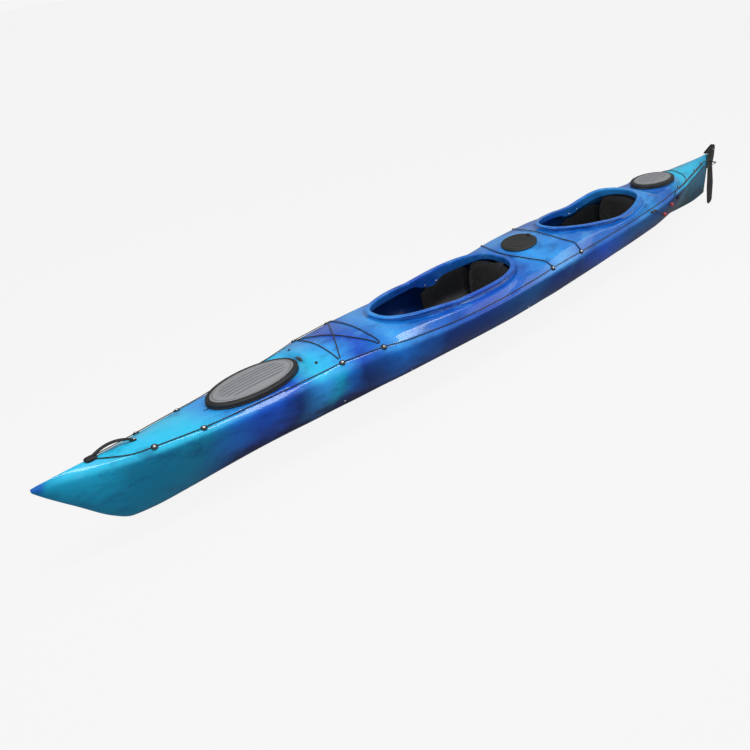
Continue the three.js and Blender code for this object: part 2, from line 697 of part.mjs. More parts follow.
// Hatch covers: rubber trays with a downturned skirt round the moulded rim, and a hard
// plate let into the top. Rings run from the middle of the top out and round to the
// middle of the underside.
function ovalStack(halfLength, halfWidth, profile) {
  const rings = profile.map(({ inset = 0, share = 1, z }) =>
    ovalOutline((halfLength - inset) * share, (halfWidth - inset) * share).map(([x, y]) => [x, y, z]));
  return skinRings(rings);
}
const coreShares = [0.04, 0.4, 0.72, 0.9];

function rubberTray(halfLength, halfWidth) {
  const recess = hatchPlateInset - seatGap;
  const under = hatchRimHeight + seatGap;
  return ovalStack(halfLength, halfWidth, [
    { inset: recess, share: coreShares[0], z: hatchCoverTop - lipRound },
    { inset: recess, z: hatchCoverTop - lipRound },
    { inset: recess, z: hatchCoverTop },
    { inset: lipRound * 2, z: hatchCoverTop - lipRound / 2 },
    { inset: 0, z: hatchCoverTop - lipRound * 2 },
    { inset: lipRound / 2, z: lipRound / 2 },
    { inset: hatchSkirt, z: lipRound / 2 },
    { inset: hatchSkirt, z: under },
    { inset: recess, share: coreShares[0], z: under },
  ]);
}

function hardPlate(halfLength, halfWidth) {
  const foot = hatchCoverTop - lipRound + seatGap;
  const crownAt = (share) => foot + lipRound + hatchCrown * (1 - share ** 2);
  return ovalStack(halfLength, halfWidth, [
    { inset: hatchPlateInset, share: coreShares[0], z: foot },
    { inset: hatchPlateInset, z: foot },
    { inset: hatchPlateInset, z: crownAt(1) },
    ...coreShares.slice().reverse().map((share) => ({ inset: hatchPlateInset, share, z: crownAt(share) })),
  ]);
}

for (const [name, hatch] of [['front', frontHatch], ['rear', rearHatch]]) {
  const place = new THREE.Group();
  place.applyMatrix4(hatchFrame(hatch));
  add(`${name}_hatch_cover`, rubberTray(hatch.halfLength, hatch.halfWidth), blackRubber, place);
  add(`${name}_hatch_plate`, hardPlate(hatch.halfLength, hatch.halfWidth), plateGrey, place);
  kayak.add(place);
}

function roundCover() {
  const under = dayHatch.rimHeight + seatGap;
  return ovalStack(dayHatch.radius, dayHatch.radius, [
    { share: coreShares[0], z: dayHatch.coverTop },
    { share: coreShares[2], z: dayHatch.coverTop - lipRound / 2 },
    { share: coreShares[3], z: dayHatch.coverTop - lipRound },
    { inset: 0, z: dayHatch.rimHeight },
    { inset: 0, z: lipRound / 2 },
    { inset: hatchSkirt, z: lipRound / 2 },
    { inset: hatchSkirt, z: under },
    { share: coreShares[0], z: under },
  ]);
}
const dayPlace = new THREE.Group();
dayPlace.applyMatrix4(hatchFrame(dayHatch));
add('day_hatch_cover', roundCover(), blackRubber, dayPlace);
kayak.add(dayPlace);

// Seats

const panRows = 7;
const panColumns = 16;
const padColumns = panColumns / 2;

// Across the seat the pan runs down one hip plate, along the floor and up the other.
function panPoint(cockpit, x, share, inset) {
  const rim = rimHalfWidth(cockpit, x) - hipInset - inset;
  const top = hipRise + hullDepth * (cockpit === rearCockpit ? -0.06 : 0);
  const turn = Math.abs(share);
  const bend = tableCurve([[0, 0], [0.35, 0.46], [0.55, 0.74], [0.72, 0.93], [1, 1]]);
  const rise = tableCurve([[0, 0], [0.35, 0.02], [0.55, 0.16], [0.72, 0.42], [1, 1]]);
  const floor = seatFloor + inset;
  return [x, Math.sign(share) * rim * bend(turn), floor + (top - floor) * rise(turn)];
}

function seatGrid(cockpit, inset) {
  const back = cockpit.aft + seatBack;
  return Array.from({ length: panRows }, (_, i) => {
    const x = back + (seatLength * i) / (panRows - 1);
    return Array.from({ length: panColumns + 1 }, (_, k) =>
      panPoint(cockpit, x, (2 * k) / panColumns - 1, inset));
  });
}

function backrestPivot(cockpit) {
  return [cockpit.aft + seatBack - padInset, 0, seatFloor + seatShell + backrestThick / 2];
}

// The pan stands on two runners, whose aft ends carry the lugs that the backrest turns on.
function seatPan(cockpit) {
  let pan = solidOf(slab(seatGrid(cockpit, seatShell), seatGrid(cockpit, 0)));
  const back = cockpit.aft + seatBack;
  const [pivotX, , pivotZ] = backrestPivot(cockpit);
  for (const side of [-1, 1]) {
    const y = side * seatRunnerSpread / 2;
    const [low, high] = [y - seatRunner / 2, y + seatRunner / 2];
    pan = pan.add(boxSolid([pivotX - footRadius, low, -hullDepth], [back + seatLength, high, seatFloor + seatShell]));
    pan = pan.add(boxSolid([pivotX - footRadius, low, seatFloor], [pivotX + footRadius, high, pivotZ - footRadius - seatGap]));
  }
  return pan.intersect(hullRoom);
}

const padRows = 10;
const padFootShare = 0.2;
const padCrownPower = 4;
function seatPad(cockpit) {
  const back = cockpit.aft + seatBack + padInset * 2;
  const front = cockpit.aft + seatBack + seatLength - padInset / 2;
  const grid = (upper) => Array.from({ length: padRows + 1 }, (_, i) => {
    const u = (2 * i) / padRows - 1;
    return Array.from({ length: padColumns + 1 }, (_, k) => {
      const v = (2 * k) / padColumns - 1;
      const x = (back + front) / 2 + ((front - back) / 2) * u;
      const seat = panPoint(cockpit, x, v / 2, seatShell + padClearance);
      const crown = (1 - u ** padCrownPower) * (1 - v ** padCrownPower);
      const rise = padRise * (padFootShare + (1 - padFootShare) * crown);
      return upper ? [seat[0], seat[1], seat[2] + rise] : seat;
    });
  });
  return slab(grid(true), grid(false));
}

const backRows = 8;
const backColumns = 10;
const backDroopShare = 0.08;
const backWidth = tableCurve([[0, 0.66], [0.3, 0.86], [0.6, 1], [0.85, 0.97], [1, 0.86]]);
const footRadius = 10;
const footShares = [[-0.99, 0.14], [-0.8, 0.6], [-0.4, 0.92]];
function backrest(cockpit) {
  const halfWidth = backrestWidthShare * rimHalfWidth(cockpit, cockpit.aft + seatBack);
  const rowAt = (rise, thickness, u, front) => Array.from({ length: backColumns + 1 }, (_, k) => {
    const v = (2 * k) / backColumns - 1;
    const wrap = backrestWrap * v ** 2 * u;
    const half = halfWidth * backWidth(u);
    const droop = backDroopShare * backrestHeight * u * v ** 2;
    return [wrap + (front ? 1 : -1) * thickness(v) / 2, half * v, rise - droop];
  });
  const grid = (front) => [
    ...footShares.map(([z, half]) => rowAt(z * footRadius, () => 2 * half * footRadius, 0, front)),
    ...Array.from({ length: backRows + 1 }, (_, i) => {
      const u = i / backRows;
      const bulge = (v) => (1 - v ** 6) * (1 - Math.max(0, 2 * u - 1) ** 6) * Math.min(1, 3 * u);
      const edge = 2 * footRadius * (1 - u ** 2 / 2);
      return rowAt(backrestHeight * u, (v) => edge + (backrestThick - edge) * bulge(v), u, front);
    }),
  ];
  const geometry = slab(grid(true), grid(false));
  geometry.rotateY(-backrestRecline);
  return geometry.translate(...backrestPivot(cockpit));
}

for (const cockpit of [frontCockpit, rearCockpit]) {
  add(`${cockpit.name}_seat_pan`, geometryOf(seatPan(cockpit)), blackPlastic);
  add(`${cockpit.name}_seat_pad`, seatPad(cockpit), seatFabric);
  add(`${cockpit.name}_backrest`, backrest(cockpit), seatFabric);
}

// Foot braces. A rail's own frame runs along the rail, out to the hull's side and up.
function railFrame(rail, side) {
  const ends = [[rail.aft, rail.aftHeight], [rail.forward, rail.forwardHeight]];
  const [aft, forward] = ends.map(([along, up]) => {
    const [x, z] = [hullX(along), up * hullDepth];
    return new THREE.Vector3(x, sideAt(x, z - railHeight / 2) - hullWall - railStandOff, z);
  });
  const along = forward.clone().sub(aft).normalize();
  const out = new THREE.Vector3(-along.y, along.x, 0).normalize();
  const up = new THREE.Vector3().crossVectors(along, out);
  const matrix = new THREE.Matrix4().makeBasis(along, out, up).setPosition(aft);
  return { matrix, length: forward.distanceTo(aft), side };
}

function inRail(frame, geometry) {
  const placed = geometry.applyMatrix4(frame.matrix);
  return frame.side > 0 ? placed : mirrored(placed);
}

function footRail(frame) {
  let rail = boxSolid([-railEnd, -railThick, -railHeight / 2], [frame.length + railEnd, 0, railHeight / 2]);
  for (const u of [0, frame.length]) {
    rail = rail.add(rodAt(bossRadius, -railThick / 2, 2 * railStandOff + hullWall, 'Y', [u, 0, 0], 12));
  }
  const geometry = geometryOf(rail).applyMatrix4(frame.matrix);
  const trimmed = geometryOf(solidOf(geometry).intersect(hullRoom));
  return frame.side > 0 ? trimmed : mirrored(trimmed);
}

// A carriage hooks over the inner face of its rail.
function carriage() {
  const inner = -railThick - slideGap;
  const half = railHeight / 2 + slideGap;
  const lip = -railThick / 2;
  const outline = [
    [inner - carriageWall, -half - carriageWall], [lip, -half - carriageWall], [lip, -half], [inner, -half],
    [inner, half], [lip, half], [lip, half + carriageWall], [inner - carriageWall, half + carriageWall],
  ];
  return solidOf(prism(outline, -carriageLength / 2, carriageLength / 2, 'YZ'));
}

function roundedPlate(inner, outer, low, high) {
  const round = (outer - inner) / 4;
  return [
    [inner, low], [outer, low], [outer, high - round], [outer - round, high],
    [inner + round, high], [inner, high - round],
  ];
}

function fixedPedal() {
  const face = -railThick - slideGap - carriageWall;
  const plate = prism(roundedPlate(face - pedalWidth, face + carriageWall / 2, -carriageWall, pedalHeight), -pedalThick / 2, pedalThick / 2, 'YZ');
  return carriage().add(solidOf(plate));
}

function pinCarriage() {
  const face = -railThick - slideGap - carriageWall;
  return carriage().add(rodAt(pedalPin, face - pedalWidth, face + carriageWall / 2, 'Y', [0, 0, 0], boreSegments));
}

function toePedal() {
  const face = -railThick - slideGap - carriageWall - slideGap;
  const inner = face - pedalWidth + carriageWall;
  const barrel = pedalPin + runningGap + carriageWall;
  const plate = prism(roundedPlate(inner, face, 0, pedalHeight), -pedalThick / 2, pedalThick / 2, 'YZ');
  const pedal = solidOf(plate).add(rodAt(barrel, inner, face, 'Y', [0, 0, 0], 14));
  return pedal.subtract(rodAt(pedalPin + runningGap, inner - cutOverrun, face + cutOverrun, 'Y', [0, 0, 0], boreSegments));
}

function addBraces(name, rail, place, pieces) {
  for (const [hand, side] of [['port', 1], ['starboard', -1]]) {
    const frame = railFrame(rail, side);
    add(`${name}_foot_rail_${hand}`, footRail(frame), blackPlastic);
    for (const [piece, build] of Object.entries(pieces)) {
      const geometry = geometryOf(build()).translate(frame.length * place, 0, 0);
      add(`${name}_${piece}_${hand}`, inRail(frame, geometry), blackPlastic);
    }
  }
}
addBraces('front', frontRailShares, frontPedalShare, { foot_pedal: fixedPedal });
addBraces('rear', rearRailShares, rearPedalShare, { pedal_carriage: pinCarriage, toe_pedal: toePedal });

// Rudder

const sternPlaces = stationPlaces.slice(0, 3);
function sternSkin(grow, aftShift, rake) {
  return solidOf(skinRings(sternPlaces.map((share, i) => {
    const x = hullX(share);
    const shift = i === 0 ? aftShift : 0;
    return insetOutline(fullSection(x), -grow).map(([y, z]) => [x + rake * rakeShift(x, z) - shift, y, z]);
  })));
}

function rudderBracket() {
  const plateX = -sternReach - bracketPlate;
  const [low, high] = [lowerKnuckle[0], upperKnuckle[1]];
  let bracket = sternSkin(seatGap + bracketWrap, bracketPlate, 0);
  bracket = bracket.intersect(boxSolid([plateX, -hullBeam, low], [plateX + bracketReach, hullBeam, high]));
  bracket = bracket.subtract(sternSkin(seatGap, seatGap, 1));
  for (const [from, to] of [lowerKnuckle, upperKnuckle]) {
    bracket = bracket.add(rodAt(barrelRadius, from, to, 'Z', [yawX, 0, 0]));
    bracket = bracket.add(boxSolid([yawX, -barrelRadius / 2, from], [plateX + bracketPlate / 2, barrelRadius / 2, to]));
  }
  return bracket.subtract(rodAt(yawPinRadius + runningGap, low - cutOverrun, high + cutOverrun, 'Z', [yawX, 0, 0], boreSegments));
}

const pinHeadRadius = 8;
const pinHeadHeight = 5;
function rudderPin() {
  const [low, high] = [lowerKnuckle[0] - pinHeadHeight, upperKnuckle[1] + seatGap];
  return rodAt(yawPinRadius, low, high + pinHeadHeight / 2, 'Z', [yawX, 0, 0], boreSegments)
    .add(rodAt(pinHeadRadius, high, high + pinHeadHeight, 'Z', [yawX, 0, 0]));
}

// The blade hangs from the head: its outline runs from the pivot down to the tip.
const bladeTopRadius = 23;
const bladeNeck = 36;
const bladeOutline = [
  [-23, 0], [-17, -60], [-16, -125], [-41, -278], [-36, -414], [8, -442], [40, -406],
  [51, -300], [53, -128], [bladeNeck, -120], [bladeNeck, -30], [23, 0],
];
function rudderBlade() {
  const outline = bladeOutline.map(([x, z]) => [bladePivot.x + x, bladePivot.z + z]);
  const place = [bladePivot.x, 0, bladePivot.z];
  return solidOf(prism(outline, -bladeThick / 2, bladeThick / 2, 'XZ'))
    .add(rodAt(bladeTopRadius, -bladeThick / 2, bladeThick / 2, 'Y', place, 20))
    .subtract(rodAt(bladeBoltRadius + runningGap, -cutOverrun, cutOverrun, 'Y', place, boreSegments));
}

const cheekOutline = [
  [-30, 14], [-24, 30], [-8, 39], [12, 39], [34, 31], [104, 5], [110, -3], [106, -8], [44, -8],
  [44, -92], [34, -104], [-6, -104], [-20, -60],
];
function rudderHead() {
  const outline = cheekOutline.map(([x, z]) => [bladePivot.x + x, bladePivot.z + z]);
  const inside = bladeThick / 2 + bearingGap + seatGap;
  const barrelLow = lowerKnuckle[1] + bearingGap;
  const barrelHigh = upperKnuckle[0] - bearingGap;
  let head = rodAt(barrelRadius, barrelLow, barrelHigh, 'Z', [yawX, 0, 0]);
  for (const side of [-1, 1]) {
    const [from, to] = side > 0 ? [inside, inside + cheekThick] : [-inside - cheekThick, -inside];
    head = head.add(solidOf(prism(outline, from, to, 'XZ')));
    head = head.add(boxSolid(
      [yawX - barrelRadius, Math.min(0, side * tillerReach), tillerLevel - tillerThick / 2],
      [yawX - bearingGap, Math.max(0, side * tillerReach), tillerLevel + tillerThick / 2]));
  }
  const spineX = bladePivot.x + bladeNeck + bearingGap;
  head = head.add(boxSolid([spineX, -inside - cheekThick, barrelLow], [yawX - barrelRadius / 2, inside + cheekThick, barrelHigh]));
  head = head.subtract(rodAt(yawPinRadius + runningGap, barrelLow - cutOverrun, barrelHigh + cutOverrun, 'Z', [yawX, 0, 0], boreSegments));
  return head.subtract(rodAt(bladeBoltRadius + runningGap, -cutOverrun, cutOverrun, 'Y', [bladePivot.x, 0, bladePivot.z], boreSegments));
}

const boltHeadRadius = 8;
const boltHead = 4;
function rudderBladeBolt() {
  const reach = bladeThick / 2 + bearingGap + seatGap + cheekThick + seatGap;
  const place = [bladePivot.x, 0, bladePivot.z];
  return rodAt(bladeBoltRadius, -reach - boltHead / 2, reach + boltHead / 2, 'Y', place, boreSegments)
    .add(rodAt(boltHeadRadius, reach, reach + boltHead, 'Y', place, 6))
    .add(rodAt(boltHeadRadius, -reach - boltHead, -reach, 'Y', place, 6));
}

add('rudder_bracket', geometryOf(rudderBracket()), blackPlastic);
add('rudder_yaw_pin', geometryOf(rudderPin()), steel);
add('rudder_head', geometryOf(rudderHead()), blackPlastic);
add('rudder_blade', geometryOf(rudderBlade()), blackPlastic);
add('rudder_blade_bolt', geometryOf(rudderBladeBolt()), steel);

// Deck lines. Each route is a list of places on the deck: [x, y, height above it].

function onDeck(x, y, height) {
  const at = deckAt(x, y);
  return [x, y + Math.sign(y) * at.normal[0] * height, at.z + at.normal[1] * height];
}

// Out from the deck edge towards the shoulder, where the line guides sit.
function lineSeat(x) {
  const { edge, shoulder } = hullStation(x);
  const length = Math.hypot(edge[0] - shoulder[0], shoulder[1] - edge[1]);
  const share = Math.min(0.5, padEyeInset / length);
  return edge[0] + share * (shoulder[0] - edge[0]);
}

const padEyeShares = [0.9015, 0.8577, 0.7144, 0.6679, 0.4219, 0.3677];
const padEyePlaces = padEyeShares.map((share) => hullX(share));
const sternEyeShare = 0.0896;

const perimeterShares = [
  0.9179, 0.9015, 0.8796, 0.8577, 0.8376, 0.8157, 0.7932, 0.7701, 0.7478, 0.7308, 0.7144, 0.6923,
  0.6679, 0.6432, 0.6122, 0.5834, 0.5447, 0.506, 0.4708, 0.4462, 0.4219, 0.3942, 0.3677, 0.3436,
  0.3181, 0.2838, 0.2555, 0.2245, 0.1953, 0.1715, 0.1356, 0.104, 0.0785, 0.0529, 0.0237,
];
function perimeterRoute(side) {
  const stops = perimeterShares.map((share) => {
    const x = hullX(share);
    return onDeck(x, side * lineSeat(x), lineHeight);
  });
  const bow = onDeck(bowHandle.forward - bowHandle.footLength / 2, side * bowHandle.footWidth * 0.9, lineHeight);
  return [bow, ...stops];
}

const bowHandleShares = { aft: 0.9113, forward: 0.9478 };
const bowHandle = {
  aft: hullX(bowHandleShares.aft), forward: hullX(bowHandleShares.forward),
  footLength: 30, footWidth: 18, footHeight: 9, rise: 30, strapWidth: 12, strapThick: 7,
};

const routes = {
  perimeter_line_port: { points: perimeterRoute(1), radius: lineRadius },
  perimeter_line_starboard: { points: perimeterRoute(-1), radius: lineRadius },
};

// The foredeck bungee is laced through four guides: two straight legs and a cross.
const legShares = [0.02, 0.05, 0.085, 0.16, 0.28, 0.44, 0.56, 0.72, 0.84, 0.915, 0.95, 0.98];
function bungeeRoute() {
  const [foreX, aftX] = [padEyePlaces[2], padEyePlaces[3]];
  const eye = (x, side) => [x, side * (lineSeat(x) - padEyeRadius * 0.75)];
  const corners = [eye(foreX, 1), eye(foreX, -1), eye(aftX, 1), eye(aftX, -1), eye(foreX, 1)];
  const flat = () => lineHeight + 2 * eyeGap;
  const hump = (share) => flat() + 2.6 * bungeeRadius * Math.sin(Math.PI * share) ** 2;
  const legs = [[0, 1, flat], [1, 2, flat], [2, 3, flat], [3, 4, hump]];
  return legs.flatMap(([a, b, height]) => legShares.map((share) => {
    const x = corners[a][0] + (corners[b][0] - corners[a][0]) * share;
    const y = corners[a][1] + (corners[b][1] - corners[a][1]) * share;
    return onDeck(x, y, height(share));
  }));
}
routes.foredeck_bungee = { points: bungeeRoute(), radius: bungeeRadius };

// Cords that cross the deck lean forward at the middle and bend over both shoulders.
const crossShares = [0.96, 0.75, 0.5, 0.25, 0];
function crossCord(x, lean, height) {
  const half = lineSeat(x) - padEyeRadius * 0.9;
  const shoulder = hullStation(x).shoulder[0];
  const near = half > shoulder ? [half, (half + shoulder) / 2, shoulder] : [half];
  const inner = crossShares.map((share) => share * Math.min(half - normalReach, shoulder - normalReach));
  const out = [...near, ...inner];
  const across = [...out.map((y) => -y), ...out.slice(0, -1).reverse()];
  return across.map((y) => {
    const arch = 1 - (y / half) ** 2;
    return onDeck(x + lean * arch, y, height + layGap * 3 * arch);
  });
}
const crossLeanShares = { front: 0.15, rear: 0.11 };
function crossBungee(x, leanShare) {
  return { points: crossCord(x, leanShare * hullBeam, bungeeRadius + layGap), radius: bungeeRadius };
}
routes.front_cross_bungee = crossBungee(padEyePlaces[4], crossLeanShares.front);
routes.rear_cross_bungee = crossBungee(padEyePlaces[5], crossLeanShares.rear);
routes.stern_cross_cord = {
  points: crossCord(hullX(sternEyeShare), 0, lineRadius + layGap), radius: lineRadius,
};

// Rudder lift lines: from the cleat down through two balls on the hull's side, up to the
// deck edge and aft to the rudder bracket.
const liftLoopShares = [
  [0.1962, 0.59, 1.6], [0.188, 0.5, 2.6], [0.1797, 0.43, 3.4], [0.1697, 0.46, 3.4], [0.1593, 0.53, 3.4], [0.1478, 0.56, 2],
];
const ballStops = [2, 4];
const plateFront = -sternReach - bracketPlate + bracketReach;
const liftAftShares = [0.1332, 0.1168, 0.0985, 0.0803, 0.062, 0.0438, 0.0292, 0.0164];
const cleatShare = 0.2062;
const cleatSeat = { x: hullX(cleatShare), length: 46, width: 14, height: 16 };
const cleatNeckShare = 0.2;
function sideLinePoint(x, side, z, out) {
  const at = hullStation(x);
  return [x, side * (sideAt(x, Math.min(z, at.sheer)) + out), z];
}
// The cleat sits on the bevel between the sheer and the deck edge.
function cleatPlace(side) {
  const at = hullStation(cleatSeat.x);
  const face = Math.atan2(at.half - at.edge[0], at.edge[1] - at.sheer);
  const foot = [cleatSeat.x, side * (at.half + at.edge[0]) / 2, (at.sheer + at.edge[1]) / 2];
  return { foot, face, normal: [0, side * Math.cos(face), Math.sin(face)] };
}

function liftLoopPoint(side, [along, up, out]) {
  return sideLinePoint(hullX(along), side, up * hullDepth, out * lineHeight);
}

function liftRoute(side) {
  const loop = liftLoopShares.map((stop) => liftLoopPoint(side, stop));
  const aft = liftAftShares.map((share) => {
    const x = hullX(share);
    return onDeck(x, side * hullStation(x).edge[0], lineHeight);
  });
  const { foot, normal } = cleatPlace(side);
  const height = cleatSeat.height * 0.54 - sunk + seatGap;
  const knot = [-cleatNeckShare * cleatSeat.length - seatGap, -cleatSeat.length * 0.6]
    .map((run) => [foot[0] + run, foot[1] + normal[1] * height, foot[2] + normal[2] * height]);
  const end = hullStation(plateFront);
  const lastY = end.half + seatGap + lineRadius + layGap;
  return [...knot, ...loop, ...aft, [plateFront + 2 * seatGap, side * lastY, end.sheer + lineRadius]];
}

// Steering lines: from the tiller's ends along the sheer to a hole in the hull's side.
const steerAlongShares = [0.0237, 0.0383, 0.0547, 0.073, 0.0912, 0.1077, 0.1204];
const steerHoleShares = { along: 0.1328, up: 0.53 };
const armSwingShare = 0.75;
function steerRoute(side) {
  const under = tillerLevel - tillerThick / 2 - lineRadius - seatGap;
  const start = [yawX - barrelRadius / 2, side * (tillerReach - 2 * lineRadius), under];
  const swing = [yawX + armSwingShare * tillerReach, side * (tillerReach - 3 * lineRadius), under - layGap];
  const along = steerAlongShares.map((share) => {
    const x = hullX(share);
    return sideLinePoint(x, side, hullStation(x).sheer, lineHeight);
  });
  const { along: holeAlong, up } = steerHoleShares;
  const end = sideLinePoint(hullX(holeAlong), side, up * hullDepth, lineHeight);
  return [start, swing, ...along, end];
}
for (const [hand, side] of [['port', 1], ['starboard', -1]]) {
  routes[`rudder_lift_line_${hand}`] = { points: liftRoute(side), radius: lineRadius };
  routes[`steering_line_${hand}`] = { points: steerRoute(side), radius: lineRadius };
}

for (const [name, route] of Object.entries(routes)) add(name, tube(route.points, route.radius), cordBlack);

// Balls are threaded on the lift lines.
for (const [hand, side] of [['port', 1], ['starboard', -1]]) {
  const route = liftRoute(side);
  const bore = solidOf(tube(route, lineRadius + eyeGap));
  ballStops.forEach((stop, i) => {
    const centre = liftLoopPoint(side, liftLoopShares[stop]);
    const ball = new THREE.SphereGeometry(ballRadius, 10, 7).translate(...centre);
    add(`lift_ball_${hand}_${i + 1}`, geometryOf(solidOf(ball).subtract(bore)), ballRed);
  });
}

// Line guides: low domes screwed to the deck, bored for the lines that they carry.
const domeShares = [[0, 0], [1, 0], [1, 0.25], [0.62, 0.82], [0, 1]];
function lineGuide() {
  const profile = domeShares.map(([r, z]) => new THREE.Vector2(r * padEyeRadius, z * padEyeHeight));
  return new THREE.LatheGeometry(profile, 12).rotateX(Math.PI / 2);
}

// Sinks a fitting a little into the deck, trims it to the deck's shape and lifts it clear.
function seated(geometry, normal) {
  const low = solidOf(geometry.translate(...normal.map((part) => -sunk * part)));
  return low.subtract(hullOutside).translate(normal.map((part) => seatGap * part));
}

const fatLines = Object.values(routes).map((route) => solidOf(tube(route.points, route.radius + eyeGap)));
function addGuide(name, x, side) {
  const y = side * lineSeat(x);
  const { z, normal } = deckAt(x, y);
  const lean = Math.atan2(normal[0], normal[1]);
  const geometry = lineGuide().rotateX(-side * lean).translate(x, y, z);
  let guide = seated(geometry, [0, side * normal[0], normal[1]]);
  for (const line of fatLines) guide = guide.subtract(line);
  const [body] = guide.decompose().sort((a, b) => b.volume() - a.volume());
  add(name, geometryOf(body), blackPlastic);
}
for (const [hand, side] of [['port', 1], ['starboard', -1]]) {
  padEyePlaces.forEach((x, i) => addGuide(`line_guide_${hand}_${i + 1}`, x, side));
}

// Cleats: a base with two horns, on the deck edge beside the rear cockpit.
const cleatShares = [
  [-0.5, 0], [0.5, 0], [0.5, 0.22], [cleatNeckShare, 0.3], [cleatNeckShare, 0.74], [0.5, 0.84],
  [0.5, 1], [-0.5, 1], [-0.5, 0.84], [-cleatNeckShare, 0.74], [-cleatNeckShare, 0.3], [-0.5, 0.22],
];
for (const [hand, side] of [['port', 1], ['starboard', -1]]) {
  const { foot, face, normal } = cleatPlace(side);
  const profile = cleatShares.map(([x, z]) => [x * cleatSeat.length, z * cleatSeat.height]);
  const geometry = prism(profile, -cleatSeat.width / 2, cleatSeat.width / 2, 'XZ');
  geometry.rotateX(-side * (Math.PI / 2 - face)).translate(...foot);
  add(`lift_cleat_${hand}`, geometryOf(seated(geometry, normal)), blackPlastic);
}

// Bow carrying handle: a strap bowed up between two feet on the ridge.
function bowCarryHandle() {
  const { aft, forward, footLength, footWidth, footHeight, rise, strapWidth, strapThick } = bowHandle;
  let handle = null;
  for (const x of [aft, forward]) {
    const low = Math.max(...[-0.5, 0, 0.5].map((share) => deckAt(x + share * footLength, 0).z)) + seatGap;
    const foot = boxSolid([x - footLength / 2, -footWidth / 2, low], [x + footLength / 2, footWidth / 2, low + footHeight]);
    handle = handle ? handle.add(foot) : foot;
  }
  const rings = Array.from({ length: 13 }, (_, i) => {
    const share = i / 12;
    const x = aft + (forward - aft) * share;
    const base = deckAt(aft, 0).z + (deckAt(forward, 0).z - deckAt(aft, 0).z) * share + footHeight / 2 + seatGap;
    const z = base + rise * Math.sin(Math.PI * share) ** 0.8;
    return [[-1, -1], [1, -1], [1, 1], [-1, 1]].map(([b, c]) => [x, b * strapWidth / 2, z + c * strapThick / 2]);
  });
  return handle.add(solidOf(skinRings(rings)));
}
add('bow_handle', geometryOf(bowCarryHandle()), blackRubber);

export default kayak;
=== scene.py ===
# %% [markdown]
# # A tandem sea kayak
# The CAD model comes first, as a frame that is never moved. Each piece below is built in
# the same place, in the finish that the real one has, and rides on the frame's bodies.

import math

import bmesh
import bpy
import numpy as np
from mathutils import Matrix, Vector


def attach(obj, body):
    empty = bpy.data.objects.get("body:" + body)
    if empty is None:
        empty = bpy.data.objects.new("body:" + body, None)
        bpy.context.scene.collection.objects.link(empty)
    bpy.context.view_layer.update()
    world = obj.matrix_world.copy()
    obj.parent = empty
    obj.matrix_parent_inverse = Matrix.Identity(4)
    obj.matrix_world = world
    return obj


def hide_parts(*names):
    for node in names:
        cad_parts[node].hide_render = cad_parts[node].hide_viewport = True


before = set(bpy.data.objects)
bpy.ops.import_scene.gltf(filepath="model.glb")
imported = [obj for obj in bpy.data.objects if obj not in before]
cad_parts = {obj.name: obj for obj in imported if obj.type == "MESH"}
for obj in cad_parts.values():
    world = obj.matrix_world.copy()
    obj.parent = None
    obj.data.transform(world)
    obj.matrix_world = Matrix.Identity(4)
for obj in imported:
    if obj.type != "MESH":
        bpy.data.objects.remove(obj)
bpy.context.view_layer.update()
MM = 0.001

# %% [markdown]
# ## Numbers as surfaces
# Every new surface is a grid of points worked out in one go with numpy. Two parameters run
# along its rows and columns. These helpers give the grid its faces, close its seams and turn
# it outwards, so that a piece's own cell holds nothing but its shape.


def grid_faces(rows, columns, closed_rows=False, closed_columns=False):
    """Corner numbers of each patch of a grid, and the patch's place in rows and columns."""
    i = np.arange(rows if closed_rows else rows - 1)[:, None]
    k = np.arange(columns if closed_columns else columns - 1)[None, :]
    i, k = np.broadcast_arrays(i, k)
    steps = [(0, 0), (1, 0), (1, 1), (0, 1)]
    corners = [((i + a) % rows) * columns + (k + b) % columns for a, b in steps]
    places = [np.stack([k + b, i + a], -1) for a, b in steps]
    return np.stack(corners, -1).reshape(-1, 4), np.stack(places, -2).reshape(-1, 4, 2)


def welded(points, faces, places):
    """Joins points that share a place, and makes a patch that lost a corner a triangle."""
    _, first, index = np.unique(np.round(points, 3), axis=0, return_index=True, return_inverse=True)
    faces = index.reshape(-1)[faces]
    same = faces == np.roll(faces, -1, axis=1)
    lost = same.sum(axis=1)
    crossed = (faces[:, 0] == faces[:, 2]) | (faces[:, 1] == faces[:, 3])
    whole = (lost == 0) & ~crossed
    once = (lost == 1) & ~crossed
    turn = (same[once].argmax(axis=1)[:, None] + np.arange(1, 4)) % 4
    thirds = np.take_along_axis(faces[once], turn, axis=1)
    third_places = np.take_along_axis(places[once], turn[:, :, None], axis=1)
    return points[first], first, faces[whole], places[whole], thirds, third_places


def signed_volume(points, faces):
    """A sixth of the sum of each triangle's triple product: positive when faces look out."""
    corners = points[faces]
    total = 0.0
    for b in range(1, faces.shape[1] - 1):
        cross = np.cross(corners[:, b], corners[:, b + 1])
        total += float((corners[:, 0] * cross).sum())
    return total / 6


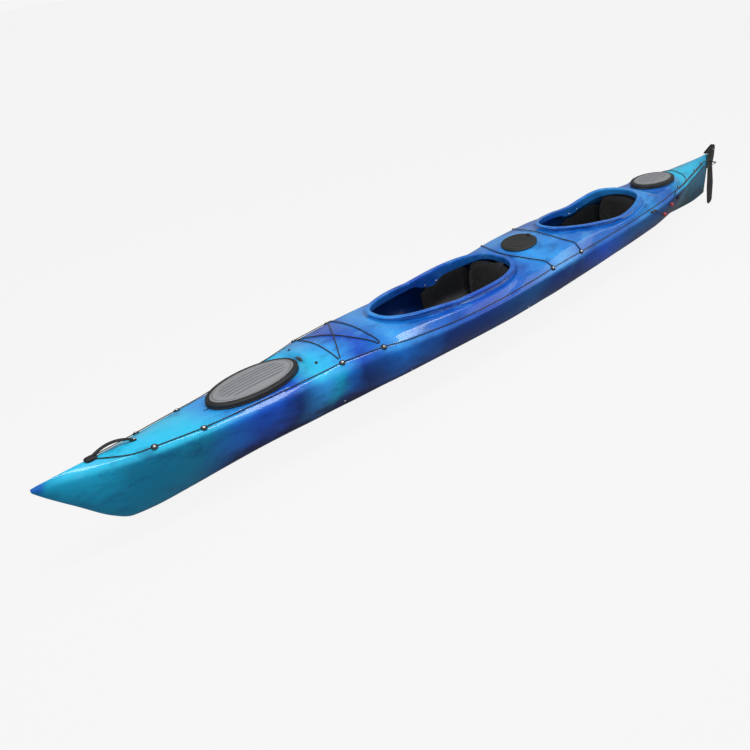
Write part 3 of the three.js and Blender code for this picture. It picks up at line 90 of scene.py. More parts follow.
def piece(name, points, faces, places, material, body="boat", crease=38.0, values=None):
    """Makes one closed piece from points in millimetres, and puts it on its body."""
    points, first, quads, quad_places, thirds, third_places = welded(points, faces, places)
    volume = signed_volume(points, quads) + signed_volume(points, thirds)
    if volume < 0:
        quads, quad_places = quads[:, ::-1], quad_places[:, ::-1]
        thirds, third_places = thirds[:, ::-1], third_places[:, ::-1]
    mesh = bpy.data.meshes.new(name)
    mesh.from_pydata((points * MM).tolist(), [], quads.tolist() + thirds.tolist())
    layer = mesh.uv_layers.new(name="UVMap")
    spots = np.concatenate([quad_places.reshape(-1, 2), third_places.reshape(-1, 2)])
    layer.data.foreach_set("uv", spots.astype(np.float32).ravel())
    for key, column in (values or {}).items():
        store = mesh.attributes.new(key, "FLOAT", "POINT")
        store.data.foreach_set("value", np.asarray(column, np.float32).ravel()[first])
    mesh.materials.append(material)
    mesh.shade_smooth()
    mesh.set_sharp_from_angle(angle=math.radians(crease))
    made = bpy.data.objects.new(name, mesh)
    bpy.context.scene.collection.objects.link(made)
    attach(made, body)
    print(name, len(quads) * 2 + len(thirds), "triangles")
    return made


def stacked(parts):
    """Joins several grids into one set of points, faces and places."""
    points, faces, places, start = [], [], [], 0
    for part_points, part_faces, part_places in parts:
        points.append(part_points)
        faces.append(part_faces + start)
        places.append(part_places)
        start += len(part_points)
    return np.concatenate(points), np.concatenate(faces), np.concatenate(places)


def surface(grid, closed_rows=False, closed_columns=False):
    """A grid of points, rows by columns by three, as points, faces and places."""
    rows, columns = grid.shape[:2]
    faces, places = grid_faces(rows, columns, closed_rows, closed_columns)
    return grid.reshape(-1, 3), faces, places.astype(float)


def capped(grid):
    """Adds a first and a last row drawn together at the middle of the end rings."""
    low = np.broadcast_to(grid[:1].mean(axis=1, keepdims=True), grid[:1].shape)
    high = np.broadcast_to(grid[-1:].mean(axis=1, keepdims=True), grid[-1:].shape)
    return np.concatenate([low, grid, high])


def moved(part, matrix):
    """The same part carried by a matrix to its place."""
    points, faces, places = part
    matrix = np.array(matrix)
    return points @ matrix[:3, :3].T + matrix[:3, 3], faces, places


def frame_at(place, normal, along=(1.0, 0.0, 0.0)):
    """A matrix that stands a part's +Z on a normal, with its +X as near as it can be to along."""
    up = np.array(normal, float) / np.linalg.norm(normal)
    side = np.cross(up, along)
    side /= np.linalg.norm(side)
    matrix = np.eye(4)
    matrix[:3, 0] = np.cross(side, up)
    matrix[:3, 1] = side
    matrix[:3, 2] = up
    matrix[:3, 3] = place
    return matrix


def unit(rows):
    """Rows of vectors, each brought to a length of 1."""
    return rows / np.linalg.norm(rows, axis=-1, keepdims=True)


def full_turn(count):
    """Equal steps of angle all the way round, without the last, which is the first again."""
    return np.linspace(0, 2 * np.pi, count, endpoint=False)


def signed_power(wave, power):
    """The size of a wave raised to a power, with its sign kept. It squares a circle off."""
    return np.sign(wave) * np.abs(wave) ** power


def squarish_ring(count, power):
    """The two coordinates of a superellipse: the cosine and the sine, each to a power."""
    turn = full_turn(count)
    return signed_power(np.cos(turn), power), signed_power(np.sin(turn), power)


def bell(value, centre, width):
    """1 at the centre, falling off like a bell: e to minus the distance over the width, squared."""
    return np.exp(-((value - centre) / width) ** 2)


def at_heights(x, y, height):
    """Rings of points: rows of x and y, each row at its own height."""
    return np.stack([x, y, np.broadcast_to(height, x.shape)], -1)


def turned(profile, count):
    """Rings round Z from a profile of [radius, height]."""
    profile = np.array(profile, float)
    turn = full_turn(count)
    return at_heights(profile[:, :1] * np.cos(turn), profile[:, :1] * np.sin(turn), profile[:, 1:])


def lathe(profile, count=32):
    """A turned piece whose profile starts and ends on the axis."""
    return surface(turned(profile, count), closed_columns=True)


# %% [markdown]
# ## Smooth tables
# A hull is drawn as stations: cross-sections at known places along it. The table is the
# same as the CAD model's, and a monotone curve runs through each column so that nothing
# overshoots. A light blur takes out the corners that a moulded skin wouldn't have.

# %% Curves through tables


def monotone(xs, ys, at):
    """A cubic through points that never overshoots: tangents are harmonic means of slopes."""
    xs, ys, at = (np.asarray(values, float) for values in (xs, ys, at))
    slopes = np.diff(ys) / np.diff(xs)
    product = slopes[:-1] * slopes[1:]
    total = slopes[:-1] + slopes[1:]
    inner = np.where(product > 0, 2 * product / np.where(total == 0, 1, total), 0)
    tangents = np.concatenate([slopes[:1], inner, slopes[-1:]])
    i = np.clip(np.searchsorted(xs, at, side="right") - 1, 0, len(xs) - 2)
    span = xs[i + 1] - xs[i]
    t = np.clip((at - xs[i]) / span, 0, 1)
    rise = ys[i + 1] - ys[i]
    a = tangents[i] * span - rise
    b = rise - tangents[i + 1] * span
    return ys[i] + rise * t + t * (1 - t) * (a * (1 - t) + b * t)


def table(pairs, at):
    """A smooth reading of a short table of (place, value) pairs."""
    pairs = np.array(pairs, float)
    return monotone(pairs[:, 0], pairs[:, 1], at)


def straight(pairs, at):
    """A straight reading of a short table, where its corners are meant."""
    pairs = np.array(pairs, float)
    return np.interp(at, pairs[:, 0], pairs[:, 1])


def smoothstep(low, high, value):
    """0 below low, 1 above high, and an S between them."""
    t = np.clip((value - low) / (high - low), 0, 1)
    return t * t * (3 - 2 * t)


def softer_least(a, b, reach):
    """The smaller of two heights, rounded where they cross over a band of the given reach."""
    blend = np.clip(0.5 + (b - a) / (2 * reach), 0, 1)
    return b + (a - b) * blend - reach * blend * (1 - blend)


# %% Hull stations
# The columns are the place along the hull, half beam, keel height, power of the bilge's curve,
# sheer height, deck edge out and up, deck shoulder out and up, and ridge height. All but the
# power are shares of the length, the half beam and the depth, and all are whole numbers here.
LENGTH = 5480.0
STERN = -2730.0
BEAM = 644.0
DEPTH = 350.0
WALL = 5.0
KEEL_FLAT = 34.0
KEEL_FLAT_SHARE = 0.28
CAMBER_POWER = 1.7
STERN_RAKE = 30.0
STERN_RAKE_RUN = 120.0
HOLLOW_SHARES = (0.036, 0.941)
TABLE_STEP = 4.0
TABLE_BLUR = 10.0
STATION_SCALE = [10000, 1000, 1000, 100] + [1000] * 6
STATION_SHARES = np.array([
    [0, 44, -49, 100, 671, 857, 740, 571, 790, 812],
    [73, 79, -61, 100, 657, 840, 728, 560, 790, 812],
    [237, 145, -72, 100, 632, 870, 705, 565, 782, 814],
    [447, 233, -90, 100, 606, 865, 680, 595, 775, 818],
    [785, 377, -80, 110, 588, 883, 658, 617, 768, 824],
    [955, 453, -68, 130, 581, 892, 650, 703, 758, 822],
    [1020, 479, -63, 135, 577, 890, 646, 761, 754, 777],
    [1356, 597, -42, 170, 571, 905, 646, 789, 766, 797],
    [1750, 711, -14, 210, 571, 911, 649, 786, 789, 829],
    [1805, 724, -9, 215, 571, 908, 651, 786, 823, 869],
    [1953, 755, -3, 220, 571, 912, 654, 817, 834, 891],
    [2245, 799, 0, 230, 577, 917, 657, 850, 811, 857],
    [2555, 846, 0, 235, 583, 929, 660, 881, 766, 814],
    [2838, 877, 0, 240, 589, 935, 666, 860, 771, 829],
    [3181, 915, 0, 250, 594, 942, 677, 825, 840, 900],
    [3436, 940, 0, 255, 600, 943, 686, 809, 874, 957],
    [3677, 962, 0, 260, 606, 938, 694, 807, 874, 977],
    [3887, 978, 0, 265, 609, 939, 700, 807, 869, 1000],
    [4133, 997, 0, 270, 611, 937, 703, 808, 851, 954],
    [4292, 1000, 0, 270, 611, 940, 694, 811, 829, 929],
    [4462, 1000, 0, 275, 611, 943, 680, 811, 811, 897],
    [4869, 1000, 0, 280, 609, 940, 663, 824, 794, 857],
    [5060, 997, 0, 275, 609, 943, 660, 845, 789, 857],
    [5447, 984, 0, 260, 614, 939, 669, 831, 800, 857],
    [5834, 959, 0, 250, 629, 931, 691, 787, 834, 871],
    [6122, 934, -3, 245, 651, 916, 726, 741, 874, 909],
    [6432, 899, -6, 240, 680, 906, 771, 720, 909, 966],
    [6679, 855, -11, 235, 714, 904, 829, 699, 931, 991],
    [6923, 814, -17, 230, 726, 882, 857, 664, 928, 1009],
    [7146, 767, -26, 220, 734, 868, 874, 656, 931, 1000],
    [7340, 727, -42, 207, 740, 853, 862, 673, 897, 985],
    [7400, 714, -47, 204, 742, 850, 856, 712, 860, 872],
    [7932, 629, -71, 165, 761, 826, 836, 750, 852, 868],
    [8391, 538, -91, 145, 770, 830, 842, 702, 860, 870],
    [8593, 494, -91, 150, 774, 838, 850, 586, 878, 898],
    [8816, 428, -89, 160, 777, 838, 866, 456, 906, 920],
    [9038, 358, -83, 175, 786, 825, 880, 351, 940, 954],
    [9318, 258, -37, 180, 811, 805, 914, 293, 980, 996],
    [9484, 195, 126, 170, 840, 806, 938, 258, 998, 1009],
    [9708, 107, 474, 150, 890, 794, 966, 265, 1010, 1018],
    [9931, 31, 829, 130, 955, 700, 986, 300, 1010, 1017],
    [10000, 9, 954, 110, 978, 667, 990, 333, 1004, 1010],
]) / STATION_SCALE


def hull_x(share):
    """Place along the boat, from a share of its length counted from the stern."""
    return share * LENGTH + STERN


def blurred(column, spread):
    """A running mean with bell-shaped weights. The ends are carried on straight."""
    reach = int(3 * spread)
    weights = np.exp(-0.5 * (np.arange(-reach, reach + 1) / spread) ** 2)
    before = 2 * column[0] - column[reach:0:-1]
    after = 2 * column[-1] - column[-2:-reach - 2:-1]
    return np.convolve(np.concatenate([before, column, after]), weights / weights.sum(), "valid")


table_x = np.arange(STERN, STERN + LENGTH + TABLE_STEP / 2, TABLE_STEP)
table_columns = [
    blurred(monotone(hull_x(STATION_SHARES[:, 0]), column, table_x), TABLE_BLUR / TABLE_STEP)
    for column in STATION_SHARES.T[1:]
]


def hull_at(x):
    """The section's driving sizes at places along the boat, by straight interpolation."""
    half, keel, full, sheer, edge_out, edge_up, shoulder_out, shoulder_up, ridge = (
        np.interp(x, table_x, column) for column in table_columns)
    half = half * BEAM / 2
    return {
        "half": half, "keel": keel * DEPTH, "full": full, "sheer": sheer * DEPTH,
        "edge_y": edge_out * half, "edge_z": edge_up * DEPTH,
        "shoulder_y": shoulder_out * half, "shoulder_z": shoulder_up * DEPTH,
        "ridge": ridge * DEPTH,
    }


# %% [markdown]
# ## The openings
# Two cockpits and three hatches are cut in the deck. Each is an oval with a known edge, so
# one function tells how far any point of the deck is from it. The fillets, the channel
# round a coaming and the flat seat of a hatch all come from that distance.

# %% Openings in the deck
COAMING_WALL = 7.0
SKIRT_DEPTH = 105.0
HATCH_SKIRT = 12.0
HATCH_RIM_WALL = 6.0
COVER_GAP = 1.2
COVER_REACH = HATCH_SKIRT + COVER_GAP + HATCH_RIM_WALL


def cockpit(name, aft, forward, half_width, corner, taper, lip, skirt):
    """A cockpit's opening: a rounded oval that is wider towards the stern."""
    low, high = hull_x(aft), hull_x(forward)
    return {
        "name": name, "mid": (low + high) / 2, "long": (high - low) / 2, "aft": low,
        "wide": half_width * BEAM / 2, "corner": corner, "taper": taper,
        "lip": lip, "skirt": skirt, "cut": COAMING_WALL / 2,
    }


def hatch(name, x, half_length, half_width, seat, slope, rim=20.0, top=31.0):
    """A hatch: its half sizes are those of the rubber cover's skirt."""
    long, wide = half_length * LENGTH, half_width * BEAM / 2
    if name == "day":
        long = wide = min(long, wide)
    return {
        "name": name, "mid": hull_x(x), "long": long - COVER_REACH, "wide": wide - COVER_REACH,
        "corner": 2.0, "taper": 0.0, "cover": (long, wide), "seat": seat * DEPTH, "slope": slope,
        "rim": rim, "top": top, "cut": HATCH_RIM_WALL / 2,
    }


front_cockpit = cockpit(
    "front", 0.4526, 0.6365, 0.65, 2.73, 0.2,
    [(0, 0.954), (0.1, 0.92), (0.25, 0.909), (0.55, 0.909), (0.65, 0.937), (0.75, 0.963),
     (0.87, 0.986), (1, 1.017)],
    [(0, 0.36), (0.13, 0.6), (0.26, 0.66), (0.35, 1), (0.44, 0.8), (0.53, 0.42), (0.64, 0.36),
     (1, 0.34)])
rear_cockpit = cockpit(
    "rear", 0.2026, 0.365, 0.602, 2.4, 0.2,
    [(0, 0.966), (0.07, 0.966), (0.16, 0.934), (0.24, 0.891), (0.4, 0.846), (0.5, 0.866),
     (0.61, 0.909), (0.74, 0.954), (0.87, 1.006), (1, 1.054)],
    [(0, 0.36), (0.13, 0.56), (0.26, 0.58), (0.37, 0.66), (0.47, 0.6), (0.56, 0.42),
     (0.66, 0.4), (1, 0.36)])
front_hatch = hatch("front", 0.79, 0.0489, 0.4625, 0.8735, 0.0)
rear_hatch = hatch("rear", 0.1385, 0.0363, 0.4125, 0.807, 0.045)
day_hatch = hatch("day", 0.4133, 0.0208, 0.354, 0.962, -0.114, rim=9.0, top=17.0)
COCKPITS = (front_cockpit, rear_cockpit)
HATCHES = (front_hatch, rear_hatch, day_hatch)
OPENINGS = COCKPITS + HATCHES


def edge_half_width(opening, x, grow=0.0):
    """Half width of an opening at x: a superellipse whose width tapers along it, 0 outside."""
    along = np.clip((x - opening["mid"]) / (opening["long"] + grow), -1, 1)
    width = (opening["wide"] + grow) * (1 - opening["taper"] * along)
    return width * (1 - np.abs(along) ** opening["corner"]) ** (1 / opening["corner"])


def edge_points(opening, count, grow=0.0):
    """Points round an opening at equal turns of the superellipse."""
    along, across = squarish_ring(count, 2 / opening["corner"])
    width = (opening["wide"] + grow) * (1 - opening["taper"] * along)
    return np.stack([opening["mid"] + (opening["long"] + grow) * along, width * across], -1)


def oval_value(opening, x, y, grow):
    """1 on the oval, less inside it and more outside."""
    along = (x - opening["mid"]) / (opening["long"] + grow)
    width = (opening["wide"] + grow) * (1 - opening["taper"] * np.clip(along, -1.4, 1.4))
    n = opening["corner"]
    return (np.abs(along) ** n + np.abs(y / width) ** n) ** (1 / n)


def away_from(opening, x, y, grow=0.0):
    """Distance outside an oval: the oval's value less 1, over the steepness of that value."""
    value = oval_value(opening, x, y, grow)
    dx = (oval_value(opening, x + 1, y, grow) - oval_value(opening, x - 1, y, grow)) / 2
    dy = (oval_value(opening, x, y + 1, grow) - oval_value(opening, x, y - 1, grow)) / 2
    return (value - 1) / np.maximum(np.hypot(dx, dy), 1e-6)


def lip_height(opening, x):
    """Height of a coaming's lip at x."""
    share = (x - opening["aft"]) / (2 * opening["long"])
    return table(opening["lip"], np.clip(share, 0, 1)) * DEPTH


def seat_height(opening, x):
    """Height of the flat place that a hatch's cover lies on."""
    return opening["seat"] + opening["slope"] * (x - opening["mid"])


# %% [markdown]
# ## The hull and deck
# The real hull is one hollow shell of polyethylene, moulded in a turning mould. It could be
# a subdivision cage, but its lines are known as tables, so each row of the grid is a
# section: a flat keel, a superellipse round the bilge, a bevel up to the deck edge and a
# cambered deck. Rows crowd together near the openings, where the surface bends most.

# %% The deck's height anywhere
FILLET = 15.0
CHANNEL_DEPTH = 6.0
CHANNEL_PLACE = 21.0
CHANNEL_WIDTH = 12.0
RING_DEPTH = 7.0
RING_PLACE = 62.0
RING_WIDTH = 11.0
RING_SPAN_AFT = (0.15, 0.75)
RIDGE_PLACE = RING_PLACE - 20.0
RIDGE_WIDTH = 9.0
RIDGE_AFT, RIDGE_FORE = 1.8, 1.2
RIDGE_SPAN_FORE = (0.55, 0.95)
SEAT_FLAT = 15.0
SEAT_BLEND = 24.0
HATCH_FADE, COCKPIT_FADE = 18.0, 22.0
CROSSING = 9.0
FULL_FILLET = 0.998


def plain_deck(x, y):
    """The sloping side of the deck and its camber, whichever is lower, rounded together."""
    at = hull_at(x)
    out = np.abs(y)
    run = np.maximum(at["edge_y"] - at["shoulder_y"], 0.5)
    side = at["edge_z"] + (at["shoulder_z"] - at["edge_z"]) * (at["edge_y"] - out) / run
    crown = at["ridge"] - (at["ridge"] - at["shoulder_z"]) * (out / at["shoulder_y"]) ** CAMBER_POWER
    reach = np.clip((at["ridge"] - at["edge_z"]) * 0.25, 0.4, CROSSING)
    return softer_least(side, crown, reach)


def deck_z(x, y):
    """Height of the moulded deck, with the hatch seats, channels, rings and fillets."""
    x, y = np.broadcast_arrays(np.asarray(x, float), np.asarray(y, float))
    z = plain_deck(x, y)
    edge = hull_at(x)["edge_y"]
    for opening in HATCHES:
        out = away_from(opening, x, y, COVER_REACH)
        flat = 1 - smoothstep(SEAT_FLAT, SEAT_FLAT + SEAT_BLEND, out)
        flat = flat * smoothstep(0, HATCH_FADE, edge - np.abs(y))
        z = z + flat * (seat_height(opening, x) - z)
    for opening in COCKPITS:
        out = np.maximum(away_from(opening, x, y, COAMING_WALL), 0)
        inside = smoothstep(0, COCKPIT_FADE, edge - np.abs(y))
        along = (x - opening["mid"]) / opening["long"]
        aft = smoothstep(*RING_SPAN_AFT, -along)
        fore = smoothstep(*RIDGE_SPAN_FORE, along)
        channel = bell(out, CHANNEL_PLACE, CHANNEL_WIDTH)
        ring = bell(out, RING_PLACE, RING_WIDTH)
        ridge = bell(out, RIDGE_PLACE, RIDGE_WIDTH)
        z = z - inside * (CHANNEL_DEPTH * channel + aft * RING_DEPTH * ring)
        z = z + inside * (aft * RIDGE_AFT + fore * RIDGE_FORE) * ridge
        near = np.clip(FILLET - out, 0, FILLET)
        z = z + FILLET - np.sqrt(FILLET ** 2 - near ** 2 * FULL_FILLET)
    return z


def deck_frame(x, y, reach=6.0):
    """A point of the deck and its outward normal, from the heights round about."""
    x, y = np.asarray(x, float), np.asarray(y, float)
    z = deck_z(x, y)
    slope_x = (deck_z(x + reach, y) - deck_z(x - reach, y)) / (2 * reach)
    slope_y = (deck_z(x, y + reach) - deck_z(x, y - reach)) / (2 * reach)
    normal = np.stack([-slope_x, -slope_y, np.ones_like(z)], -1)
    return np.stack([x, y, z], -1), unit(normal)


# %% Rows and columns of the hull
ROW_STEP = 20.0
CLOSE = 0.7
EDGE_ROWS = 43
FILLET_STEPS = np.array([1.5, 3.5, 6, 9, 13, 18, 24, 31, 39, 48, 58, 68])
STERN_STEPS = np.array([3.0, 7, 12, 19, 27, 36, 46])
BOW_STEPS = np.array([2.0, 5, 9, 14, 20, 27, 37])


def hull_rows():
    """Places of the sections: even steps, and more at the turns of each opening's edge."""
    bow = STERN + LENGTH
    rows = [np.arange(STERN, bow + 1, ROW_STEP), [bow], STERN + STERN_STEPS, bow - BOW_STEPS]
    tips = []
    for opening in OPENINGS:
        reach = opening["long"] + opening["cut"]
        turn = np.linspace(0, np.pi, EDGE_ROWS)
        rows.append(opening["mid"] + reach * signed_power(np.cos(turn), 2 / opening["corner"]))
        for side in (-1, 1):
            rows.append(opening["mid"] + side * (reach + FILLET_STEPS))
            tips.append(opening["mid"] + side * reach)
    places = np.unique(np.concatenate(rows))
    keep = np.concatenate([[True], np.diff(places) > CLOSE])
    keep |= np.isclose(places[:, None], np.array(tips), atol=1e-6).any(axis=1)
    return places[keep]


KEEL_SHARES = np.array([0.0, 0.5, 1.0])
BILGE_STEPS = 18
BEVEL_STEPS = 5
OUTER_STEPS = 8
INNER_STEPS = 22
CROWDING, CROWDING_REACH = 0.9, 90.0
KNEE_SHARE = 0.45


def half_sections(x):
    """Port halves of the sections: rows of points from the keel round to the middle.

    The girth counts along a row: 0 at the keel, 1 at the sheer, 2 at the deck's edge, 3 inside.
    """
    at = {key: value[:, None] for key, value in hull_at(x).items()}
    flat = np.minimum(KEEL_FLAT / 2, KEEL_FLAT_SHARE * at["half"])
    share = np.arange(1, BILGE_STEPS + 1)[None, :] / BILGE_STEPS
    turn = (0.5 * share + 0.5 * share ** 2 * (3 - 2 * share)) * np.pi / 2
    power = 2 / at["full"]
    keel_y = flat * KEEL_SHARES
    keel_z = np.broadcast_to(at["keel"], keel_y.shape)
    bilge_y = flat + (at["half"] - flat) * np.sin(turn) ** power
    cosine = np.clip(np.cos(turn), 0, 1)
    bilge_z = at["sheer"] - (at["sheer"] - at["keel"]) * cosine ** power
    rise = np.arange(1, BEVEL_STEPS + 1)[None, :] / BEVEL_STEPS
    bevel_y = at["half"] + (at["edge_y"] - at["half"]) * rise
    bevel_z = at["sheer"] + (at["edge_z"] - at["sheer"]) * rise
    inner = np.zeros(len(x))
    crowd = np.ones(len(x))
    for opening in OPENINGS:
        inner = np.maximum(inner, edge_half_width(opening, x, opening["cut"]))
        beyond = np.abs(x - opening["mid"]) - opening["long"] - opening["cut"]
        crowd = np.maximum(crowd, 1 + CROWDING * (1 - smoothstep(0, CROWDING_REACH, beyond)))
    inner = inner[:, None]
    knee = np.maximum(at["shoulder_y"], inner + (at["edge_y"] - inner) * KNEE_SHARE)
    outer = np.arange(1, OUTER_STEPS + 1)[None, :] / OUTER_STEPS
    outer_y = at["edge_y"] + (knee - at["edge_y"]) * outer
    last = 1 - np.arange(1, INNER_STEPS + 1)[None, :] / INNER_STEPS
    inner_y = inner + (knee - inner) * last ** crowd[:, None]
    deck_y = np.concatenate([outer_y, inner_y], axis=1)
    deck_height = deck_z(np.broadcast_to(x[:, None], deck_y.shape), deck_y)
    y = np.concatenate([keel_y, bilge_y, bevel_y, deck_y], axis=1)
    z = np.concatenate([keel_z, bilge_z, bevel_z, deck_height], axis=1)
    girth = np.concatenate([
        KEEL_SHARES * 0.1, 0.1 + 0.9 * share[0], 1 + rise[0], 2 + 0.4 * outer[0],
        2.4 + 0.6 * (1 - last[0]),
    ])
    return y, z, np.broadcast_to(girth, y.shape), inner[:, 0]


def rounded_corners(y, z, centres, reach=3, passes=3, draw=0.7):
    """Draws the points near a corner towards the mean of their neighbours."""
    weight = np.zeros(y.shape[1])
    for centre in centres:
        gap = np.abs(np.arange(y.shape[1]) - centre)
        weight = np.maximum(weight, np.clip(1 - gap / reach, 0, 1))
    for _ in range(passes):
        for line in (y, z):
            middle = (line[:, :-2] + line[:, 2:]) / 2
            line[:, 1:-1] += weight[1:-1] * (middle - line[:, 1:-1]) * draw
    return y, z


def raked(x, z, at):
    """The stern's end leans: its foot lies further forward than its top."""
    near = np.maximum(0, 1 - (x - STERN) / STERN_RAKE_RUN)
    return x + STERN_RAKE * near * (1 - (z - at["keel"][:, None]) / (at["ridge"] - at["keel"])[:, None])


def skin_normals(grid):
    """Outward normals of a grid: the cross product of its two directions."""
    along = np.gradient(grid, axis=0)
    across = np.gradient(grid, axis=1)
    normal = np.cross(across, along)
    normal /= np.maximum(np.linalg.norm(normal, axis=2, keepdims=True), 1e-9)
    return normal


SHEER_COLUMN = len(KEEL_SHARES) + BILGE_STEPS - 1
EDGE_COLUMN = SHEER_COLUMN + BEVEL_STEPS
row_x = hull_rows()
half_y, half_z, half_girth, half_inner = half_sections(row_x)
half_y, half_z = rounded_corners(half_y.copy(), half_z.copy(), (SHEER_COLUMN, EDGE_COLUMN))
spread_x = np.broadcast_to(row_x[:, None], half_y.shape)
port_skin = np.stack([raked(spread_x, half_z, hull_at(row_x)), half_y, half_z], -1)
port_skin[:, 0, 1] = 0
print("hull grid:", port_skin.shape)

# %% The hollow shell
END_SHARES = (0.75, 0.4, 0.0)


def ends_closed(grid, girth):
    """Adds rows at both ends that shrink to the middle of the end section."""
    rows, bands = [grid], [girth]
    for end in (0, -1):
        centre = grid[end].mean(axis=0) * [1, 0, 1]
        for share in END_SHARES:
            row = centre + (grid[end] - centre) * share
            rows = [row[None]] + rows if end == 0 else rows + [row[None]]
            bands = [girth[end][None]] + bands if end == 0 else bands + [girth[end][None]]
    return np.concatenate(rows), np.concatenate(bands)


def hull_shell_parts():
    """Outer skin, inner skin a wall's thickness inside it, and the cut edges between them."""
    outer, girth = ends_closed(port_skin, half_girth)
    low, high = (np.searchsorted(row_x, hull_x(share)) for share in HOLLOW_SHARES)
    columns = port_skin.shape[1]
    chosen = np.unique(np.append(np.arange(0, columns, 2), columns - 1))
    inset = port_skin - WALL * skin_normals(port_skin)
    inset[:, 0, 1] = 0
    closed = half_inner <= 0
    inset[closed, -1, 1] = 0
    inset[..., 1] = np.maximum(inset[..., 1], 0)
    inner = inset[low:high + 1][:, chosen]
    inner_girth = half_girth[low:high + 1][:, chosen]
    inner, inner_girth = ends_closed(inner, inner_girth)
    parts, bands = [], []
    for side in (1, -1):
        flip = np.array([1, side, 1])
        for grid, band, turn in ((outer, girth, 1), (inner, inner_girth, -1)):
            points, faces, places = surface(grid * flip)
            if side * turn < 0:
                faces, places = faces[:, ::-1], places[:, ::-1]
            parts.append((points, faces, places))
            bands.append(band.ravel())
        open_row = half_inner > 0
        pairs = np.nonzero(open_row[:-1] | open_row[1:])[0]
        pairs = pairs[(pairs >= low) & (pairs < high)]
        rim = np.stack([port_skin[:, -1], inset[:, -1]], axis=1) * flip
        corners = np.stack([pairs * 2, pairs * 2 + 2, pairs * 2 + 3, pairs * 2 + 1], -1)
        corners = corners if side < 0 else corners[:, ::-1]
        parts.append((rim.reshape(-1, 3), corners, np.zeros((len(pairs), 4, 2))))
        bands.append(np.full(rim.shape[0] * 2, 3.0))
    return stacked(parts), np.concatenate(bands)


# %% [markdown]
# ## Finishes as expressions
# A material here is shader maths. One small class wraps a socket, so that noise, masks and
# ramps are combined with the usual signs, and one method makes any other node.

# %% Sockets that can be added and multiplied


def linear(code):
    """A colour written as #rrggbb, turned to Blender's linear values."""
    parts = [int(code[i:i + 2], 16) / 255 for i in (1, 3, 5)]
    return [p / 12.92 if p <= 0.04045 else ((p + 0.055) / 1.055) ** 2.4 for p in parts] + [1.0]


class Wire:
    """An output socket. Signs between wires and numbers add Math nodes."""

    def __init__(self, tree, socket=None):
        self.tree, self.socket = tree, socket

    def node(self, kind, values=None, out=0, stops=None, **settings):
        """A new node: wires or numbers in its sockets, then the wire out of it."""
        made = self.tree.nodes.new(kind)
        for key, value in settings.items():
            setattr(made, key, value)
        if stops:
            fill_ramp(made.color_ramp, stops)
        for key, value in (values or {}).items():
            if isinstance(value, Wire):
                self.tree.links.new(value.socket, made.inputs[key])
            else:
                made.inputs[key].default_value = value
        return Wire(self.tree, made.outputs[out])

    def maths(self, operation, first, second=0.0):
        """A Math node of one or two numbers."""
        return self.node("ShaderNodeMath", {0: first, 1: second}, operation=operation)

    def __add__(self, other):
        return self.maths("ADD", self, other)

    def __sub__(self, other):
        return self.maths("SUBTRACT", self, other)

    def __mul__(self, other):
        return self.maths("MULTIPLY", self, other)

    def __rsub__(self, other):
        return self.maths("SUBTRACT", other, self)

    __radd__ = __add__
    __rmul__ = __mul__

    def noise(self, where, scale, detail=3.0, rough=0.5):
        """Noise from 0 to 1 at a place, in blobs of one over the scale."""
        values = {"Vector": where, "Scale": scale, "Detail": detail, "Roughness": rough}
        return self.node("ShaderNodeTexNoise", values, out="Fac")

    def rise(self, low, high):
        """0 below low, 1 above high, smooth between."""
        values = {"Value": self, "From Min": low, "From Max": high}
        return self.node("ShaderNodeMapRange", values, interpolation_type="SMOOTHSTEP")

    def mixed(self, first, second):
        """A colour that goes from first to second as this value goes from 0 to 1."""
        return self.node("ShaderNodeMix", {0: self, 6: first, 7: second}, out=2, data_type="RGBA")

    def ramp(self, stops):
        """A colour read from (place, colour code) stops."""
        return self.node("ShaderNodeValToRGB", {"Fac": self}, stops=stops)

    def place(self):
        """Where a point of the surface lies, in the object's own metres."""
        return self.node("ShaderNodeTexCoord", out="Object")

    def axis(self, letter):
        """One number of a vector: its X, Y or Z."""
        return self.node("ShaderNodeSeparateXYZ", {0: self}, out=letter)

    def attribute(self, name):
        """A number that the mesh keeps at each of its points."""
        return self.node("ShaderNodeAttribute", out="Fac", attribute_name=name)


def fill_ramp(ramp, stops):
    """Puts (place, colour code) stops on a colour ramp."""
    while len(ramp.elements) > 1:
        ramp.elements.remove(ramp.elements[-1])
    ramp.elements[0].position = stops[0][0]
    ramp.elements[0].color = linear(stops[0][1])
    for place, code in stops[1:]:
        ramp.elements.new(place).color = linear(code)


def finish(name, roughness=0.5, metallic=0.0, coat=0.0, coat_roughness=0.1, sheen=0.0,
           specular=0.5, slot=None):
    """A new material with its constants set, a first wire, and its shader. Its slot argument is not
    used.
    """
    material = bpy.data.materials.new(name)
    material.use_nodes = True
    shader = material.node_tree.nodes["Principled BSDF"]
    shader.inputs["Roughness"].default_value = roughness
    shader.inputs["Metallic"].default_value = metallic
    shader.inputs["Coat Weight"].default_value = coat
    shader.inputs["Coat Roughness"].default_value = coat_roughness
    shader.inputs["Sheen Weight"].default_value = sheen
    shader.inputs["Specular IOR Level"].default_value = specular
    return material, Wire(material.node_tree), shader


def plug(shader, socket, wire):
    """Joins a wire to one of the shader's own sockets."""
    wire.tree.links.new(wire.socket, shader.inputs[socket])


def bumped(wire, shader, height, distance, strength=1.0):
    """Lets a height tilt the shader's normal."""
    values = {"Height": height, "Distance": distance, "Strength": strength}
    plug(shader, "Normal", wire.node("ShaderNodeBump", values, out="Normal"))
